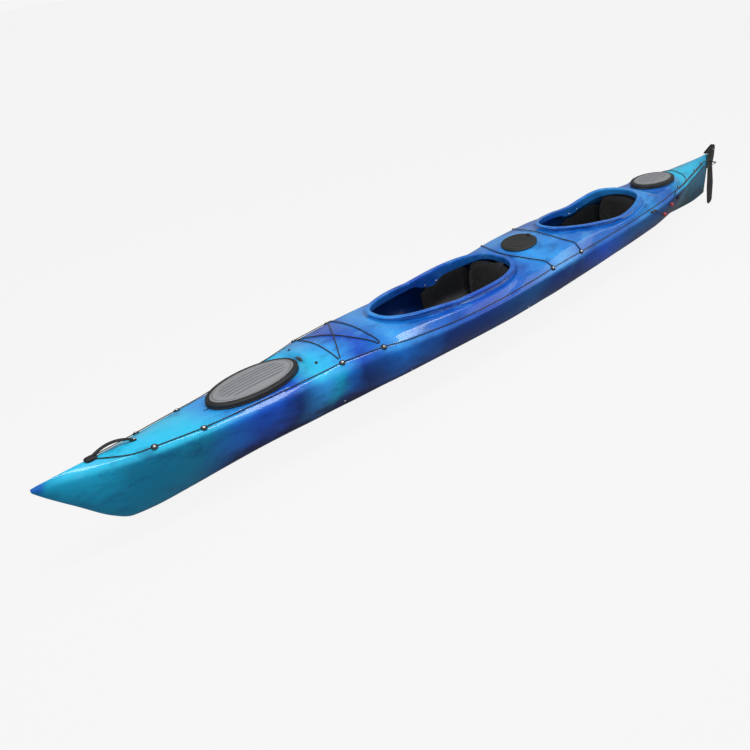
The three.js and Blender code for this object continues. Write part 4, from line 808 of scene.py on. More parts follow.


# %% [markdown]
# ## Blended polyethylene
# The mould is loaded with several blue powders that melt into each other, so the colour
# drifts from cyan at the ends to violet blue amidships, with darker clouds low on the
# sides. The sides and their foot are also written darker than the deck: partly the blend of
# powders, partly painted shade for sides that face away from the light. Three ramps along
# the boat, for the deck and for the top and foot of the sides, are mixed by the girth
# attribute, and noise bends the borders between them.

# %% Hull finish
POWDERS = {
    "aqua": "#2cbfe8", "cyan": "#159fca", "teal": "#0a789e", "sky": "#3296e4", "azure": "#1666c2",
    "royal": "#164ebc", "marine": "#104c86", "navy": "#0c2f72", "ink": "#071a4e",
    "petrol": "#0b4152", "soot": "#060d1a",
}


def bands(text):
    """A ramp's stops from words such as 0.5 sky: metres along the boat, and a powder's name."""
    words = text.split()
    places = [(float(x) - STERN * MM) / (LENGTH * MM) for x in words[::2]]
    return list(zip(places, [POWDERS[name] for name in words[1::2]]))


DECK_BANDS = bands(
    "-2.73 cyan -2.4 aqua -2.15 aqua -1.95 azure -1.8 azure -1.62 sky -1.3 azure -0.8 azure "
    "-0.5 sky -0.3 azure 0.2 royal 0.55 azure 0.78 sky 0.94 azure 1.06 royal 1.2 sky 1.36 aqua "
    "1.5 royal 1.68 azure 1.86 sky 2.05 aqua 2.62 aqua 2.71 cyan 2.75 azure")
# The side and foot ramps are partly painted shade: darker than the powders alone, for sides that face
# away from the light.
SIDE_BANDS_WITH_PAINTED_SHADE = bands(
    "-2.73 teal -2.15 teal -2.0 ink -1.85 marine -1.3 marine -0.95 royal -0.7 navy -0.45 navy "
    "-0.15 marine 0.25 navy 0.55 navy 0.8 azure 1.05 navy 1.16 azure 1.25 cyan 1.34 sky "
    "1.5 navy 1.62 royal 1.74 royal 1.9 azure 2.06 teal 2.3 teal 2.5 cyan 2.71 cyan 2.75 azure")
FOOT_BANDS_WITH_PAINTED_SHADE = bands(
    "-2.73 petrol -2.2 petrol -2.0 soot -1.85 soot -1.6 navy -1.1 navy -0.6 ink -0.1 navy "
    "0.3 ink 1.76 ink 1.9 marine 2.1 teal 2.75 teal")


def hull_finish():
    """Glossy blended plastic that reads its place in metres and the girth attribute."""
    material, wire, shader = finish("hull_plastic", coat_roughness=0.08, specular=0.14)
    place = wire.place()
    girth = wire.attribute("girth")
    stretched = wire.node("ShaderNodeMapping", {"Vector": place, "Scale": (0.55, 1.0, 1.0)})
    broad = wire.noise(stretched, 3.2, 3.0, 0.55)
    clouds = wire.noise(stretched, 7.5, 4.0, 0.6)
    fine = wire.noise(place, 34.0, 3.0, 0.6)
    drift = (broad - 0.5) * 0.14 + (clouds - 0.5) * 0.05
    along = (place.axis("X") - STERN * MM) * (1 / (LENGTH * MM)) + drift * 0.55
    deck = along.ramp(DECK_BANDS)
    side = along.ramp(SIDE_BANDS_WITH_PAINTED_SHADE)
    foot = along.ramp(FOOT_BANDS_WITH_PAINTED_SHADE)
    # The foot and side colours mixed here carry painted shade as well as the powders' own colour.
    low = (girth + (clouds - 0.5) * 0.9 + (broad - 0.5) * 0.5).rise(0.36, 0.88)
    flank = low.mixed(foot, side)
    high = (girth + (fine - 0.5) * 0.2).rise(0.96, 1.75)
    blend = high.mixed(flank, deck)
    shade = wire.noise(stretched, 12.0, 5.0, 0.62)
    lighter = shade.rise(0.52, 0.72) * 0.3
    darker = (1 - shade).rise(0.5, 0.72) * 0.45
    blend = (lighter * girth.rise(0.6, 2.0)).mixed(blend, linear("#66bcf0"))
    blend = darker.mixed(blend, linear("#082a66"))
    plug(shader, "Base Color", blend)
    plug(shader, "Roughness", 0.22 + fine * 0.12 + girth.rise(2.2, 1.2) * 0.1)
    plug(shader, "Coat Weight", 0.08 + girth.rise(1.0, 1.5) * 0.4)
    ripple = wire.noise(place, 9.0, 2.0, 0.4) + wire.noise(place, 260.0, 2.0, 0.5) * 0.03
    bumped(wire, shader, ripple, 0.0035, 0.6)
    return material


HULL_PLASTIC = hull_finish()

# %% Make the hull
(hull_points, hull_faces, hull_places), hull_girth = hull_shell_parts()
hull = piece("hull", hull_points, hull_faces, hull_places, HULL_PLASTIC,
             crease=50, values={"girth": hull_girth})

# %% [markdown]
# ## Coamings
# The rim that a spray deck is stretched over is moulded with the deck: a wall that rises
# from it and a lip rolled outwards, with the thigh braces hanging down inside. It is a
# rounded profile carried round the opening, whose height and skirt follow tables.

# %% Coaming bands
EDGE_COUNT = 200
LIP_PROFILE = np.array([
    (0.0, -9.0), (0.3, -5.0), (1.4, -2.4), (3.4, -0.7), (6.0, 0.0), (10.0, 0.3), (14.5, 0.0),
    (18.5, -0.8), (21.6, -2.2), (23.4, -4.2), (24.0, -6.4), (23.3, -8.3), (21.4, -9.2),
    (17.0, -9.3), (12.5, -9.6), (9.4, -10.6), (7.6, -12.6), (7.0, -15.5),
])
LIP_STRETCH = 0.24
LIP_PROFILE[:, 0] += LIP_STRETCH * np.maximum(LIP_PROFILE[:, 0] - COAMING_WALL, 0)
FOOT_PROFILE = np.array([
    (7.0, 5.0), (6.4, 1.6), (5.0, 0.3), (3.5, 0.0), (2.0, 0.3), (0.6, 1.6), (0.0, 5.0),
])
FOOT_BELOW_DECK = 13.0
WALL_STEPS = 6
# The coaming's walls take the side ramps' colour, with its painted shade; the lip takes the deck's.
LIP_GIRTH, WALL_GIRTH = 2.7, 1.3


def outward(outline):
    """Unit vectors out of a closed outline, square to the line between its neighbours."""
    ahead = unit(np.roll(outline, -1, axis=0) - np.roll(outline, 1, axis=0))
    return np.stack([ahead[:, 1], -ahead[:, 0]], -1)


def carried(outline, out, height):
    """A profile carried round an outline: each point lies out from it, at a height."""
    normal = outward(outline)
    xy = outline[:, None, :] + normal[:, None, :] * out[:, :, None]
    return np.concatenate([xy, height[:, :, None]], axis=2)


def skirt_foot(opening, x):
    """Height of the skirt's lower edge at x, where the deck doesn't hold it lower."""
    share = np.clip((x - opening["aft"]) / (2 * opening["long"]), 0, 1)
    return lip_height(opening, x) - table(opening["skirt"], share) * SKIRT_DEPTH


def coaming_grid(opening):
    """Lip, outer wall, foot and inner wall, in that order, at each place round the edge."""
    outline = edge_points(opening, EDGE_COUNT)
    x, y = outline.T
    lip = lip_height(opening, x)
    wall_y = np.abs(y) + COAMING_WALL
    deck = np.minimum(plain_deck(x, y), plain_deck(x, wall_y))
    foot = np.minimum(skirt_foot(opening, x), deck - FOOT_BELOW_DECK)
    steps = np.linspace(0, 1, WALL_STEPS + 2)[1:-1]
    top, bottom = LIP_PROFILE[-1, 1], FOOT_PROFILE[0, 1]
    down = lip[:, None] + top + (foot + bottom - lip - top)[:, None] * steps
    up = foot[:, None] + bottom + (lip + LIP_PROFILE[0, 1] - foot - bottom)[:, None] * steps
    out = np.concatenate([
        LIP_PROFILE[:, 0], np.full(WALL_STEPS, COAMING_WALL), FOOT_PROFILE[:, 0], np.zeros(WALL_STEPS),
    ])
    height = np.concatenate([
        lip[:, None] + LIP_PROFILE[:, 1], down, foot[:, None] + FOOT_PROFILE[:, 1], up,
    ], axis=1)
    return carried(outline, np.broadcast_to(out, height.shape), height)


coamings = []
for opening in COCKPITS:
    grid = coaming_grid(opening)
    level = np.full(grid.shape[:2], WALL_GIRTH)
    level[:, :len(LIP_PROFILE)] = LIP_GIRTH
    coamings.append(piece(
        opening["name"] + "_coaming", *surface(grid, True, True), HULL_PLASTIC,
        crease=60, values={"girth": level}))

# %% Places of the thigh-brace screws
BRACE_SHARES = (0.32, 0.42)
BRACE_SCREW_RISE = 15.0
SLOPE_STEP = 4.0


def inside_wall(opening, x, z, side):
    """A place on a coaming's inner wall, and the direction across the cockpit from it."""
    ahead, behind = (edge_half_width(opening, x + step) for step in (SLOPE_STEP, -SLOPE_STEP))
    slope = float(ahead - behind) / (2 * SLOPE_STEP)
    place = (x, side * float(edge_half_width(opening, x)), z)
    return frame_at(place, (slope, -side, 0.0))


brace_spots = []
for opening in COCKPITS:
    for share in BRACE_SHARES:
        x = opening["aft"] + 2 * opening["long"] * share
        z = float(skirt_foot(opening, x)) + BRACE_SCREW_RISE
        brace_spots += [inside_wall(opening, x, z, side) for side in (-1, 1)]

# %% [markdown]
# ## Hatch rims and covers
# Each hatch is an oval neck moulded on the deck. A black rubber cover is stretched over it,
# with a bead round its foot, and a hard grey plate with moulded ribs lies in its top.

# %% Hatch necks
NECK_FOOT = 24.0
NECK_GIRTH = 2.5


def hatch_to_world(opening):
    """Stands a part on a hatch's seat, leaning with its slope."""
    lean = math.atan(opening["slope"])
    matrix = np.eye(4)
    matrix[:3, 0] = (math.cos(lean), 0, math.sin(lean))
    matrix[:3, 2] = (-math.sin(lean), 0, math.cos(lean))
    matrix[:3, 3] = (opening["mid"], 0, opening["seat"])
    return matrix


def on_hatch(opening, grid, ring=False):
    """A grid closed round its columns, and round its rows for a ring, stood on its hatch."""
    return moved(surface(grid, closed_rows=ring, closed_columns=True), hatch_to_world(opening))


def oval_rings(long, wide, rings, count=112):
    """Rings of an oval: each is (inset, share of what is left, height)."""
    rings = np.array(rings, float)
    turn = full_turn(count)
    x = ((long - rings[:, 0]) * rings[:, 1])[:, None] * np.cos(turn)
    y = ((wide - rings[:, 0]) * rings[:, 1])[:, None] * np.sin(turn)
    return at_heights(x, y, rings[:, 2:3])


def hatch_neck(opening):
    """A band round the hole: up its inside, over a rounded top and down its outside."""
    top = opening["rim"]
    inner = [(0, 1, -NECK_FOOT), (0, 1, top - 3), (-0.9, 1, top - 0.9), (-3, 1, top)]
    outer = [(-5.1, 1, top - 0.9), (-6, 1, top - 3), (-6, 1, -NECK_FOOT)]
    grid = oval_rings(opening["long"], opening["wide"], inner + outer)
    return on_hatch(opening, grid, ring=True)


necks = stacked([hatch_neck(opening) for opening in HATCHES])
hatch_necks = piece("hatch_necks", *necks, HULL_PLASTIC,
                    values={"girth": np.full(len(necks[0]), NECK_GIRTH)})
for made in [hull] + coamings + [hatch_necks]:
    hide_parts("hull_shell")

# %% Rubber and hard plastic finishes


def clouded(name, cloud, span, tones, gloss, grain, bump, **settings):
    """A finish whose colour and roughness follow one noise, under the bumps of a finer one.

    The cloud and the grain are noise settings, the span is where the colour turns from the
    first tone to the second, gloss is the roughness and what the cloud adds to it, and bump
    is the depth and strength of the grain.
    """
    material, wire, shader = finish(name, **settings)
    place = wire.place()
    cloud = wire.noise(place, *cloud)
    share = cloud.rise(*span) if span else cloud
    plug(shader, "Base Color", share.mixed(*[linear(tone) for tone in tones]))
    plug(shader, "Roughness", gloss[0] + cloud * gloss[1])
    bumped(wire, shader, wire.noise(place, *grain), *bump)
    return material


def grey_plate_finish():
    """Fine grained grey plastic, lighter where it has been rubbed, with faint streaks, and painted
    shade in its grooves.
    """
    material, wire, shader = finish("hatch_plate", specular=0.5)
    place = wire.place()
    grain = wire.noise(place, 620.0, 3.0, 0.7)
    long = wire.node("ShaderNodeMapping", {"Vector": place, "Scale": (3.0, 40.0, 10.0)})
    streak = wire.noise(long, 2.0, 4.0, 0.6)
    colour = (streak * 0.6 + grain * 0.4).rise(0.3, 0.7).mixed(linear("#838589"), linear("#929498"))
    # Painted shade: the groove attribute darkens the plate in its edge groove and beside its ribs.
    plug(shader, "Base Color", (wire.attribute("groove") * 0.75).mixed(colour, linear("#37393d")))
    plug(shader, "Roughness", 0.36 + grain * 0.2)
    bumped(wire, shader, grain, 0.0005, 0.6)
    return material


def nylon_finish(name="black_plastic", tone="#121315", worn="#24262a", roughness=0.34, slot=None):
    """Black glass-filled nylon: satin, with faint flow marks and a trace of wear."""
    return clouded(name, (40.0, 4.0, 0.6), (0.5, 0.85), (tone, worn), (roughness, 0.2),
                   (1200.0, 2.0), (0.0003, 0.4), specular=0.5, slot=slot)


# Satin rubber with dusty scuffs, grey plate, black nylon, and brushed steel.
BLACK_RUBBER = clouded("black_rubber", (22.0, 4.0, 0.65), (0.45, 0.8), ("#17181a", "#2b2d30"),
                       (0.44, 0.22), (900.0, 2.0), (0.0004, 0.5), specular=0.45)
HATCH_PLATE = grey_plate_finish()
BLACK_PLASTIC = nylon_finish()
STAINLESS = clouded("stainless", (700.0, 3.0, 0.7), None, ("#a9adb2", "#d4d7da"),
                    (0.18, 0.2), (700.0, 3.0, 0.7), (0.0002, 0.4), metallic=1.0)

# %% Oval covers and their plates
SEAT_GAP = 0.3
PLATE_INSET = 26.0
PLATE_SINK = 3.0
PLATE_CROWN = 9.0
PLATE_GROOVE = 0.945
RIB_PLACES = (-0.4, 0.0, 0.4)
RIB_RISE = 2.4
RIB_WIDTH = 0.075


def cover_part(opening):
    """Rings from the middle of the cover's top, out over its bead and under to the middle."""
    long, wide = opening["cover"]
    top, well, under = opening["top"], opening["top"] - PLATE_SINK, opening["rim"] + SEAT_GAP
    rings = [
        (PLATE_INSET, 0.0, well), (PLATE_INSET, 0.6, well), (PLATE_INSET - 0.3, 1, well),
        (PLATE_INSET - 0.5, 1, top - 0.6), (PLATE_INSET - 2, 1, top + 0.6),
        (PLATE_INSET - 5, 1, top + 0.9), (15, 1, top - 0.2), (8, 1, top - 2.0),
        (3.6, 1, top - 4.6), (1.4, 1, top - 8), (0.8, 1, top - 12), (1.4, 1, 12), (1.6, 1, 9.5),
        (0.6, 1, 8.3), (0, 1, 6.4), (0, 1, 4), (0.8, 1, 2.2), (2.4, 1, 1.5),
        (HATCH_SKIRT - 1, 1, 1.5), (HATCH_SKIRT, 1, 2.5), (HATCH_SKIRT, 1, under),
        (PLATE_INSET, 0.6, under), (PLATE_INSET, 0.0, under),
    ]
    return on_hatch(opening, oval_rings(long, wide, rings))


def plate_part(opening):
    """A crowned oval with three moulded ribs along it and a shallow groove near its edge. The groove
    mask it returns marks painted shade.
    """
    long, wide = opening["cover"]
    foot = opening["top"] - PLATE_SINK + SEAT_GAP
    shares = np.concatenate([[1, 0.985, 0.965, 0.95, 0.935, 0.92], np.linspace(0.9, 0, 26)])
    rings = [(PLATE_INSET, 0.0, foot), (PLATE_INSET, 1.0, foot)]
    rings += [(PLATE_INSET, share, 0.0) for share in shares]
    grid = oval_rings(long, wide, rings, 144)
    x = grid[..., 0] / (long - PLATE_INSET)
    y = grid[..., 1] / (wide - PLATE_INSET)
    r = np.hypot(x, y)
    crown = foot + PLATE_SINK + PLATE_CROWN * (1 - r ** 2)
    crown = crown - 1.6 * smoothstep(0.985, 1.0, r)
    crown = crown - 0.9 * bell(r, PLATE_GROOVE, 0.012)
    fade = 1 - smoothstep(0.74, 0.84, r)
    # groove is a mask of painted shade: the edge groove and the foot of each rib are darkened by it.
    groove = bell(r, PLATE_GROOVE, 0.014)
    for at in RIB_PLACES:
        off = np.abs(y - at)
        crown = crown + RIB_RISE * fade * (1 - smoothstep(0.6 * RIB_WIDTH, RIB_WIDTH, off))
        groove = np.maximum(groove, fade * bell(off, 1.35 * RIB_WIDTH, 0.45 * RIB_WIDTH))
    grid[2:, :, 2] = crown[2:]
    return on_hatch(opening, grid), groove


for opening in (front_hatch, rear_hatch):
    label = opening["name"] + "_hatch"
    cover = piece(label + "_rubber", *cover_part(opening), BLACK_RUBBER, label + "_lid")
    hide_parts(label + "_cover")
    # The plate carries its painted-shade mask as the groove attribute.
    plate_surface, groove = plate_part(opening)
    plate = piece(label + "_insert", *plate_surface, HATCH_PLATE, label + "_lid", 28,
                  {"groove": groove})
    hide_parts(label + "_plate")

# %% Round day hatch
TAB_LENGTH, TAB_WIDTH, TAB_THICK = 22.32, 13.0, 2.4
TAB_OVERLAP = 30.0


def day_cover_part(opening):
    """A round rubber lid: a dished middle, two raised rings, a rolled edge and a skirt."""
    radius = opening["cover"][0]
    top = opening["top"]
    rings = [
        (0, 0.0, top - 2.4), (0, 0.3, top - 2.3), (0, 0.42, top - 2.1), (0, 0.46, top - 0.7),
        (0, 0.5, top - 0.5), (0, 0.54, top - 0.9), (0, 0.58, top - 2.2), (0, 0.7, top - 2.2),
        (0, 0.75, top - 1.9), (0, 0.785, top - 0.3), (0, 0.82, top), (0, 0.86, top - 0.4),
        (0, 0.9, top - 2), (4.5, 1, top - 4.0), (1.4, 1, top - 6.2), (0.2, 1, 8.4), (0, 1, 5),
        (0.6, 1, 2.6), (2.2, 1, 1.5), (HATCH_SKIRT - 1, 1, 1.5), (HATCH_SKIRT, 1, 2.5),
        (HATCH_SKIRT, 1, opening["rim"] + SEAT_GAP), (0, 0.0, opening["rim"] + SEAT_GAP),
    ]
    return on_hatch(opening, oval_rings(radius, radius, rings, 96))


def pull_tab_part(opening):
    """A tongue of rubber on the lid's aft edge to pull it off by."""
    radius = opening["cover"][0]
    u = np.linspace(-1, 1, 17)[:, None]
    share = (u + 1) / 2
    turn = full_turn(20)[None, :]
    half = TAB_WIDTH * np.sqrt(np.clip(1 - np.abs(u) ** 5, 0.0004, 1))
    x = -radius + TAB_OVERLAP - TAB_LENGTH * share
    y = half * np.cos(turn)
    z = opening["top"] + 1.2 + 2.6 * np.sin(np.pi * share)
    z = z + TAB_THICK * np.sin(turn) * (1 - 0.2 * u ** 2) - 1.5 * (u < -0.95)
    grid = np.stack(np.broadcast_arrays(x, y, z), -1)
    return on_hatch(opening, capped(grid))


DAY_RUBBER = nylon_finish("day_rubber", "#191c1a", "#2b2f2b", 0.42, "black_rubber")
day_lid = piece("day_hatch_rubber", *stacked([day_cover_part(day_hatch), pull_tab_part(day_hatch)]),
                DAY_RUBBER, "day_hatch_lid")
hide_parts("day_hatch_cover")

# %% [markdown]
# ## Deck lines
# The cords come early, because they have to lie where the CAD model's cords lie. Each is a
# braided cord. Its stops are places on the deck, a smooth curve runs
# through them, and a ring of corners is carried along it square to its direction.

# %% Paths and tubes
LINE_RADIUS = 2.5
BUNGEE_RADIUS = 3.0
LINE_HEIGHT = 4.0
GUIDE_RADIUS = 17.0
GUIDE_INSET = 8.0
CORD_GAP = 0.8
TUBE_SIDES = 10
PATH_STEP = 8.0


def step_lengths(path):
    """The lengths of a path's steps."""
    return np.linalg.norm(np.diff(path, axis=0), axis=1)


def eased_path(stops, step=PATH_STEP):
    """A cubic through the stops whose tangents are the neighbouring slopes, weighed by length."""
    stops = np.asarray(stops, float)
    gaps = step_lengths(stops)
    slopes = np.diff(stops, axis=0) / gaps[:, None]
    weight = (gaps[1:] / (gaps[1:] + gaps[:-1]))[:, None]
    inner = slopes[:-1] * weight + slopes[1:] * (1 - weight)
    tangents = np.concatenate([slopes[:1], inner, slopes[-1:]])
    counts = np.maximum(2, np.ceil(gaps / step).astype(int))
    part = np.repeat(np.arange(len(gaps)), counts)
    t = ((np.arange(len(part)) - np.repeat(np.cumsum(counts) - counts, counts)) / counts[part])[:, None]
    span = gaps[part][:, None]
    a, b = stops[part], stops[part + 1]
    body = (a * (1 + 2 * t) * (1 - t) ** 2 + b * t ** 2 * (3 - 2 * t)
            + span * t * (1 - t) * (tangents[part] * (1 - t) - tangents[part + 1] * t))
    return np.concatenate([body, stops[-1:]])


def tube_part(path, radius, sides=TUBE_SIDES, lean=(0.0, 0.0, 1.0)):
    """Rings square to the path. The first corner of each points as near to lean as it can."""
    ahead = unit(np.gradient(path, axis=0))
    side = unit(np.cross(lean, ahead))
    top = np.cross(ahead, side)
    turn = full_turn(sides)[None, :, None]
    radius = np.broadcast_to(radius, (len(path),))[:, None, None]
    grid = path[:, None] + radius * (top[:, None] * np.cos(turn) + side[:, None] * np.sin(turn))
    points, faces, places = surface(capped(grid), closed_columns=True)
    run = np.concatenate([[0], np.cumsum(step_lengths(path))])
    run = np.concatenate([run[:1], run, run[-1:]]) / (2 * np.pi * float(radius.max()))
    around, along = places[..., 0] / sides, np.interp(places[..., 1], np.arange(len(run)), run)
    return points, faces, np.stack([around, along], -1)


def braid_finish(name, dark, light, roughness):
    """Braided cord: two sets of strands that cross as they wind round it, with painted shade between
    the strands.
    """
    material, wire, shader = finish(name, roughness=roughness, sheen=0.25, specular=0.3)
    spot = wire.node("ShaderNodeUVMap", out="UV", uv_map="UVMap")
    around, along = spot.axis("X"), spot.axis("Y")
    left = wire.maths("SINE", (around * 4 + along * 2) * (2 * math.pi))
    right = wire.maths("SINE", (around * 4 - along * 2) * (2 * math.pi))
    strands = wire.maths("MAXIMUM", left, right) * 0.5 + 0.5
    # Painted shade: the colour follows the strands' height, dark between them.
    plug(shader, "Base Color", strands.mixed(linear(dark), linear(light)))
    bumped(wire, shader, strands, 0.0006, 0.7)
    return material


DECK_CORD = braid_finish("deck_cord", "#08090a", "#202226", 0.7)


def cord(name, stops, radius, body="boat"):
    """A braided cord through its stops, in place of the CAD model's cord of that name."""
    path = eased_path(stops)
    made = piece(name + "_cord", *tube_part(path, radius), DECK_CORD, body, 80)
    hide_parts(name)
    return made


def line_seat(x):
    """Where the guides sit: a little inside the deck's edge, towards the shoulder."""
    at = hull_at(x)
    run = np.hypot(at["edge_y"] - at["shoulder_y"], at["shoulder_z"] - at["edge_z"])
    share = np.minimum(0.5, GUIDE_INSET / run)
    return at["edge_y"] + share * (at["shoulder_y"] - at["edge_y"])


def on_deck(x, y, height):
    """Points that stand off the deck along its normal."""
    x, y, height = np.broadcast_arrays(*(np.asarray(v, float) for v in (x, y, height)))
    place, normal = deck_frame(x, y)
    return place + normal * height[..., None]


# %% Lines along the deck's edge
GUIDE_SHARES = np.array([0.9015, 0.8577, 0.7144, 0.6679, 0.4219, 0.3677])
STERN_GUIDE_SHARE = 0.0896
HANDLE_SHARES = (0.9113, 0.9478)
LINE_END_BACK, LINE_END_OUT = 15.0, 16.2
EDGE_SHARES = np.array([
    0.9179, 0.9015, 0.8796, 0.8577, 0.8376, 0.8157, 0.7932, 0.7701, 0.7478, 0.7308, 0.7144,
    0.6923, 0.6679, 0.6432, 0.6122, 0.5834, 0.5447, 0.506, 0.4708, 0.4462, 0.4219, 0.3942,
    0.3677, 0.3436, 0.3181, 0.2838, 0.2555, 0.2245, 0.1953, 0.1715, 0.1356, 0.104, 0.0785,
    0.0529, 0.0237,
])
guide_x = hull_x(GUIDE_SHARES)
handle_aft, handle_fore = (hull_x(share) for share in HANDLE_SHARES)
SIDES = (("port", 1), ("starboard", -1))
for hand, side in SIDES:
    along = hull_x(EDGE_SHARES)
    bow = on_deck([handle_fore - LINE_END_BACK], [side * LINE_END_OUT], LINE_HEIGHT)
    stops = np.concatenate([bow, on_deck(along, side * line_seat(along), LINE_HEIGHT)])
    cord("perimeter_line_" + hand, stops, LINE_RADIUS)

# %% Bungees across the deck
LEG_SHARES = np.array([0.045, 0.075, 0.11, 0.17, 0.28, 0.42, 0.58, 0.72, 0.83, 0.89, 0.925, 0.955])
CROSS_SHARES = np.array([0.96, 0.75, 0.5, 0.25, 0])
LEAN = {"front": 0.15 * BEAM, "rear": 0.11 * BEAM}
LACING_INSET, LACING_HEIGHT = GUIDE_RADIUS * 0.6, BUNGEE_RADIUS + 1.0
LACING_OVER = 2.6 * BUNGEE_RADIUS
CROSS_INSET, CROSS_RISE = GUIDE_RADIUS * 0.55, 1.5
SHOULDER_GAP = 8.0


def lacing_stops():
    """Four legs between four guides: across, on the slant, across and back over the slant."""
    fore, aft = guide_x[2], guide_x[3]
    corner = [(x, side * (line_seat(x) - LACING_INSET)) for x, side in
              ((fore, 1), (fore, -1), (aft, 1), (aft, -1), (fore, 1))]
    legs = []
    for n in range(4):
        start, end = np.array(corner[n]), np.array(corner[n + 1])
        spots = start + (end - start) * LEG_SHARES[:, None]
        over = LACING_OVER * np.sin(np.pi * LEG_SHARES) ** 2 if n == 3 else 0
        legs.append(on_deck(spots[:, 0], spots[:, 1], LACING_HEIGHT + over))
    return np.concatenate(legs)


def crossing_stops(x, lean, height):
    """From guide to guide over both shoulders, leaning forward at the middle."""
    half = float(line_seat(x)) - CROSS_INSET
    shoulder = float(hull_at(x)["shoulder_y"])
    near = [half, (half + shoulder) / 2, shoulder] if half > shoulder else [half]
    out = np.concatenate([near, CROSS_SHARES * (min(half, shoulder) - SHOULDER_GAP)])
    across = np.concatenate([-out, out[:-1][::-1]])
    arch = 1 - (across / half) ** 2
    return on_deck(x + lean * arch, across, height + CROSS_RISE * arch)


cord("foredeck_bungee", lacing_stops(), BUNGEE_RADIUS)
for end, x in (("front", guide_x[4]), ("rear", guide_x[5])):
    stops = crossing_stops(x, LEAN[end], BUNGEE_RADIUS + CORD_GAP)
    cord(end + "_cross_bungee", stops, BUNGEE_RADIUS)
stops = crossing_stops(hull_x(STERN_GUIDE_SHARE), 0, LINE_RADIUS + CORD_GAP)
cord("stern_cross_cord", stops, LINE_RADIUS)

# %% Lines of the rudder
LIFT_LOOP = np.array([
    (0.1962, 0.59, 1.6), (0.188, 0.5, 2.6), (0.1797, 0.43, 3.4), (0.1697, 0.46, 3.4),
    (0.1593, 0.53, 3.4), (0.1478, 0.56, 2.0),
])
LIFT_AFT = np.array([0.1332, 0.1168, 0.0985, 0.0803, 0.062, 0.0438, 0.0292, 0.0164])
CLEAT_SHARE = 0.2062
CLEAT_HEIGHT = 16.0
KNOT_RISE = CLEAT_HEIGHT * 0.54 - 1.7
KNOT_STEPS = (9.5, 27.6)
BRACKET_AFT, BRACKET_REACH = STERN - 6, 44.0
LIFT_END = BRACKET_AFT + BRACKET_REACH + 0.6
LIFT_END_OUT = 3.3
BALL_STOPS = (2, 4)
STEER_SHARES = np.array([0.0237, 0.0383, 0.0547, 0.073, 0.0912, 0.1077, 0.1204])
STEER_HOLE = (0.1328, 0.53)
YAW_X = STERN - 20
TILLER_REACH = 66.0
TILLER_LEVEL = 0.62 * DEPTH
TILLER_HALF = 3.5
CAD_LINE_HEIGHT = 4.4


def side_at(x, z):
    """Half width of the hull's side at a height below the sheer: its superellipse turned round."""
    at = hull_at(x)
    flat = np.minimum(KEEL_FLAT / 2, KEEL_FLAT_SHARE * at["half"])
    depth = np.clip((at["sheer"] - z) / (at["sheer"] - at["keel"]), 0, 1)
    return flat + (at["half"] - flat) * (1 - depth ** at["full"]) ** (1 / at["full"])


def on_side(x, side, z, out):
    """Points that stand out sideways from the hull's side."""
    return np.stack([x, side * (side_at(x, np.minimum(z, hull_at(x)["sheer"])) + out), z], -1)


def cleat_frame(side):
    """The cleat's foot on the bevel between the sheer and the deck's edge, and its normal."""
    x = hull_x(CLEAT_SHARE)
    at = hull_at(x)
    face = math.atan2(at["half"] - at["edge_y"], at["edge_z"] - at["sheer"])
    foot = np.array([x, side * (at["half"] + at["edge_y"]) / 2, (at["sheer"] + at["edge_z"]) / 2])
    return foot, np.array([0, side * math.cos(face), math.sin(face)])


def lift_stops(side):
    """From the cleat, down through the balls, up to the deck's edge and aft to the rudder."""
    foot, normal = cleat_frame(side)
    knot = foot + normal * KNOT_RISE - np.outer(KNOT_STEPS, [1, 0, 0])
    x = hull_x(LIFT_LOOP[:, 0])
    loop = on_side(x, side, LIFT_LOOP[:, 1] * DEPTH, LIFT_LOOP[:, 2] * CAD_LINE_HEIGHT)
    x = hull_x(LIFT_AFT)
    aft = on_deck(x, side * (hull_at(x)["edge_y"] - 1), LINE_HEIGHT)
    at = hull_at(LIFT_END)
    last = np.array([[LIFT_END, side * (at["half"] + LIFT_END_OUT), at["sheer"] + LINE_RADIUS]])
    return np.concatenate([knot, loop, aft, last])


def steer_stops(side):
    """From the tiller's end, low past the stern, along the sheer and into the hull's side."""
    under = TILLER_LEVEL - TILLER_HALF - LINE_RADIUS - SEAT_GAP
    start = [YAW_X - 5.5, side * (TILLER_REACH - 2 * LINE_RADIUS), under]
    swing = [YAW_X + 0.75 * TILLER_REACH, side * (TILLER_REACH - 3 * LINE_RADIUS), under - 0.5]
    x = hull_x(STEER_SHARES)
    along = on_side(x, side, hull_at(x)["sheer"], CAD_LINE_HEIGHT)
    hole = np.array([hull_x(STEER_HOLE[0])])
    last = on_side(hole, side, np.array([STEER_HOLE[1] * DEPTH]), CAD_LINE_HEIGHT)
    return np.concatenate([[start, swing], along, last])


for hand, side in SIDES:
    cord("rudder_lift_line_" + hand, lift_stops(side), LINE_RADIUS)
    cord("steering_line_" + hand, steer_stops(side), LINE_RADIUS)

# %% [markdown]
# ## Deck fittings
# The guides are black nylon domes, each held by one domed steel screw. A turned profile is
# worked out once and stood at each place on the deck's own normal. Copies of one fitting in
# one finish are one mesh.

# %% Guides and their screws
GUIDE_PROFILE = [
    (0, -1.0), (15.5, -1.0), (17.0, 0.4), (17.0, 2.2), (16.4, 3.8), (14.6, 5.6), (11.8, 7.0),
    (10.0, 7.7), (9.2, 7.4), (8.8, 6.6), (0, 6.6),
]
SCREW_PROFILE = [
    (0, 6.2), (8.3, 6.2), (8.4, 7.4), (7.9, 8.7), (6.4, 10.0), (4.4, 10.9), (3.1, 11.2), (2.9, 10.9),
    (2.7, 9.6), (0, 9.6),
]
SMALL_SHARES = (0.0548, 0.0292, 0.1225)
SMALL_INSET = 7.0
SMALL_SCALE = 0.62


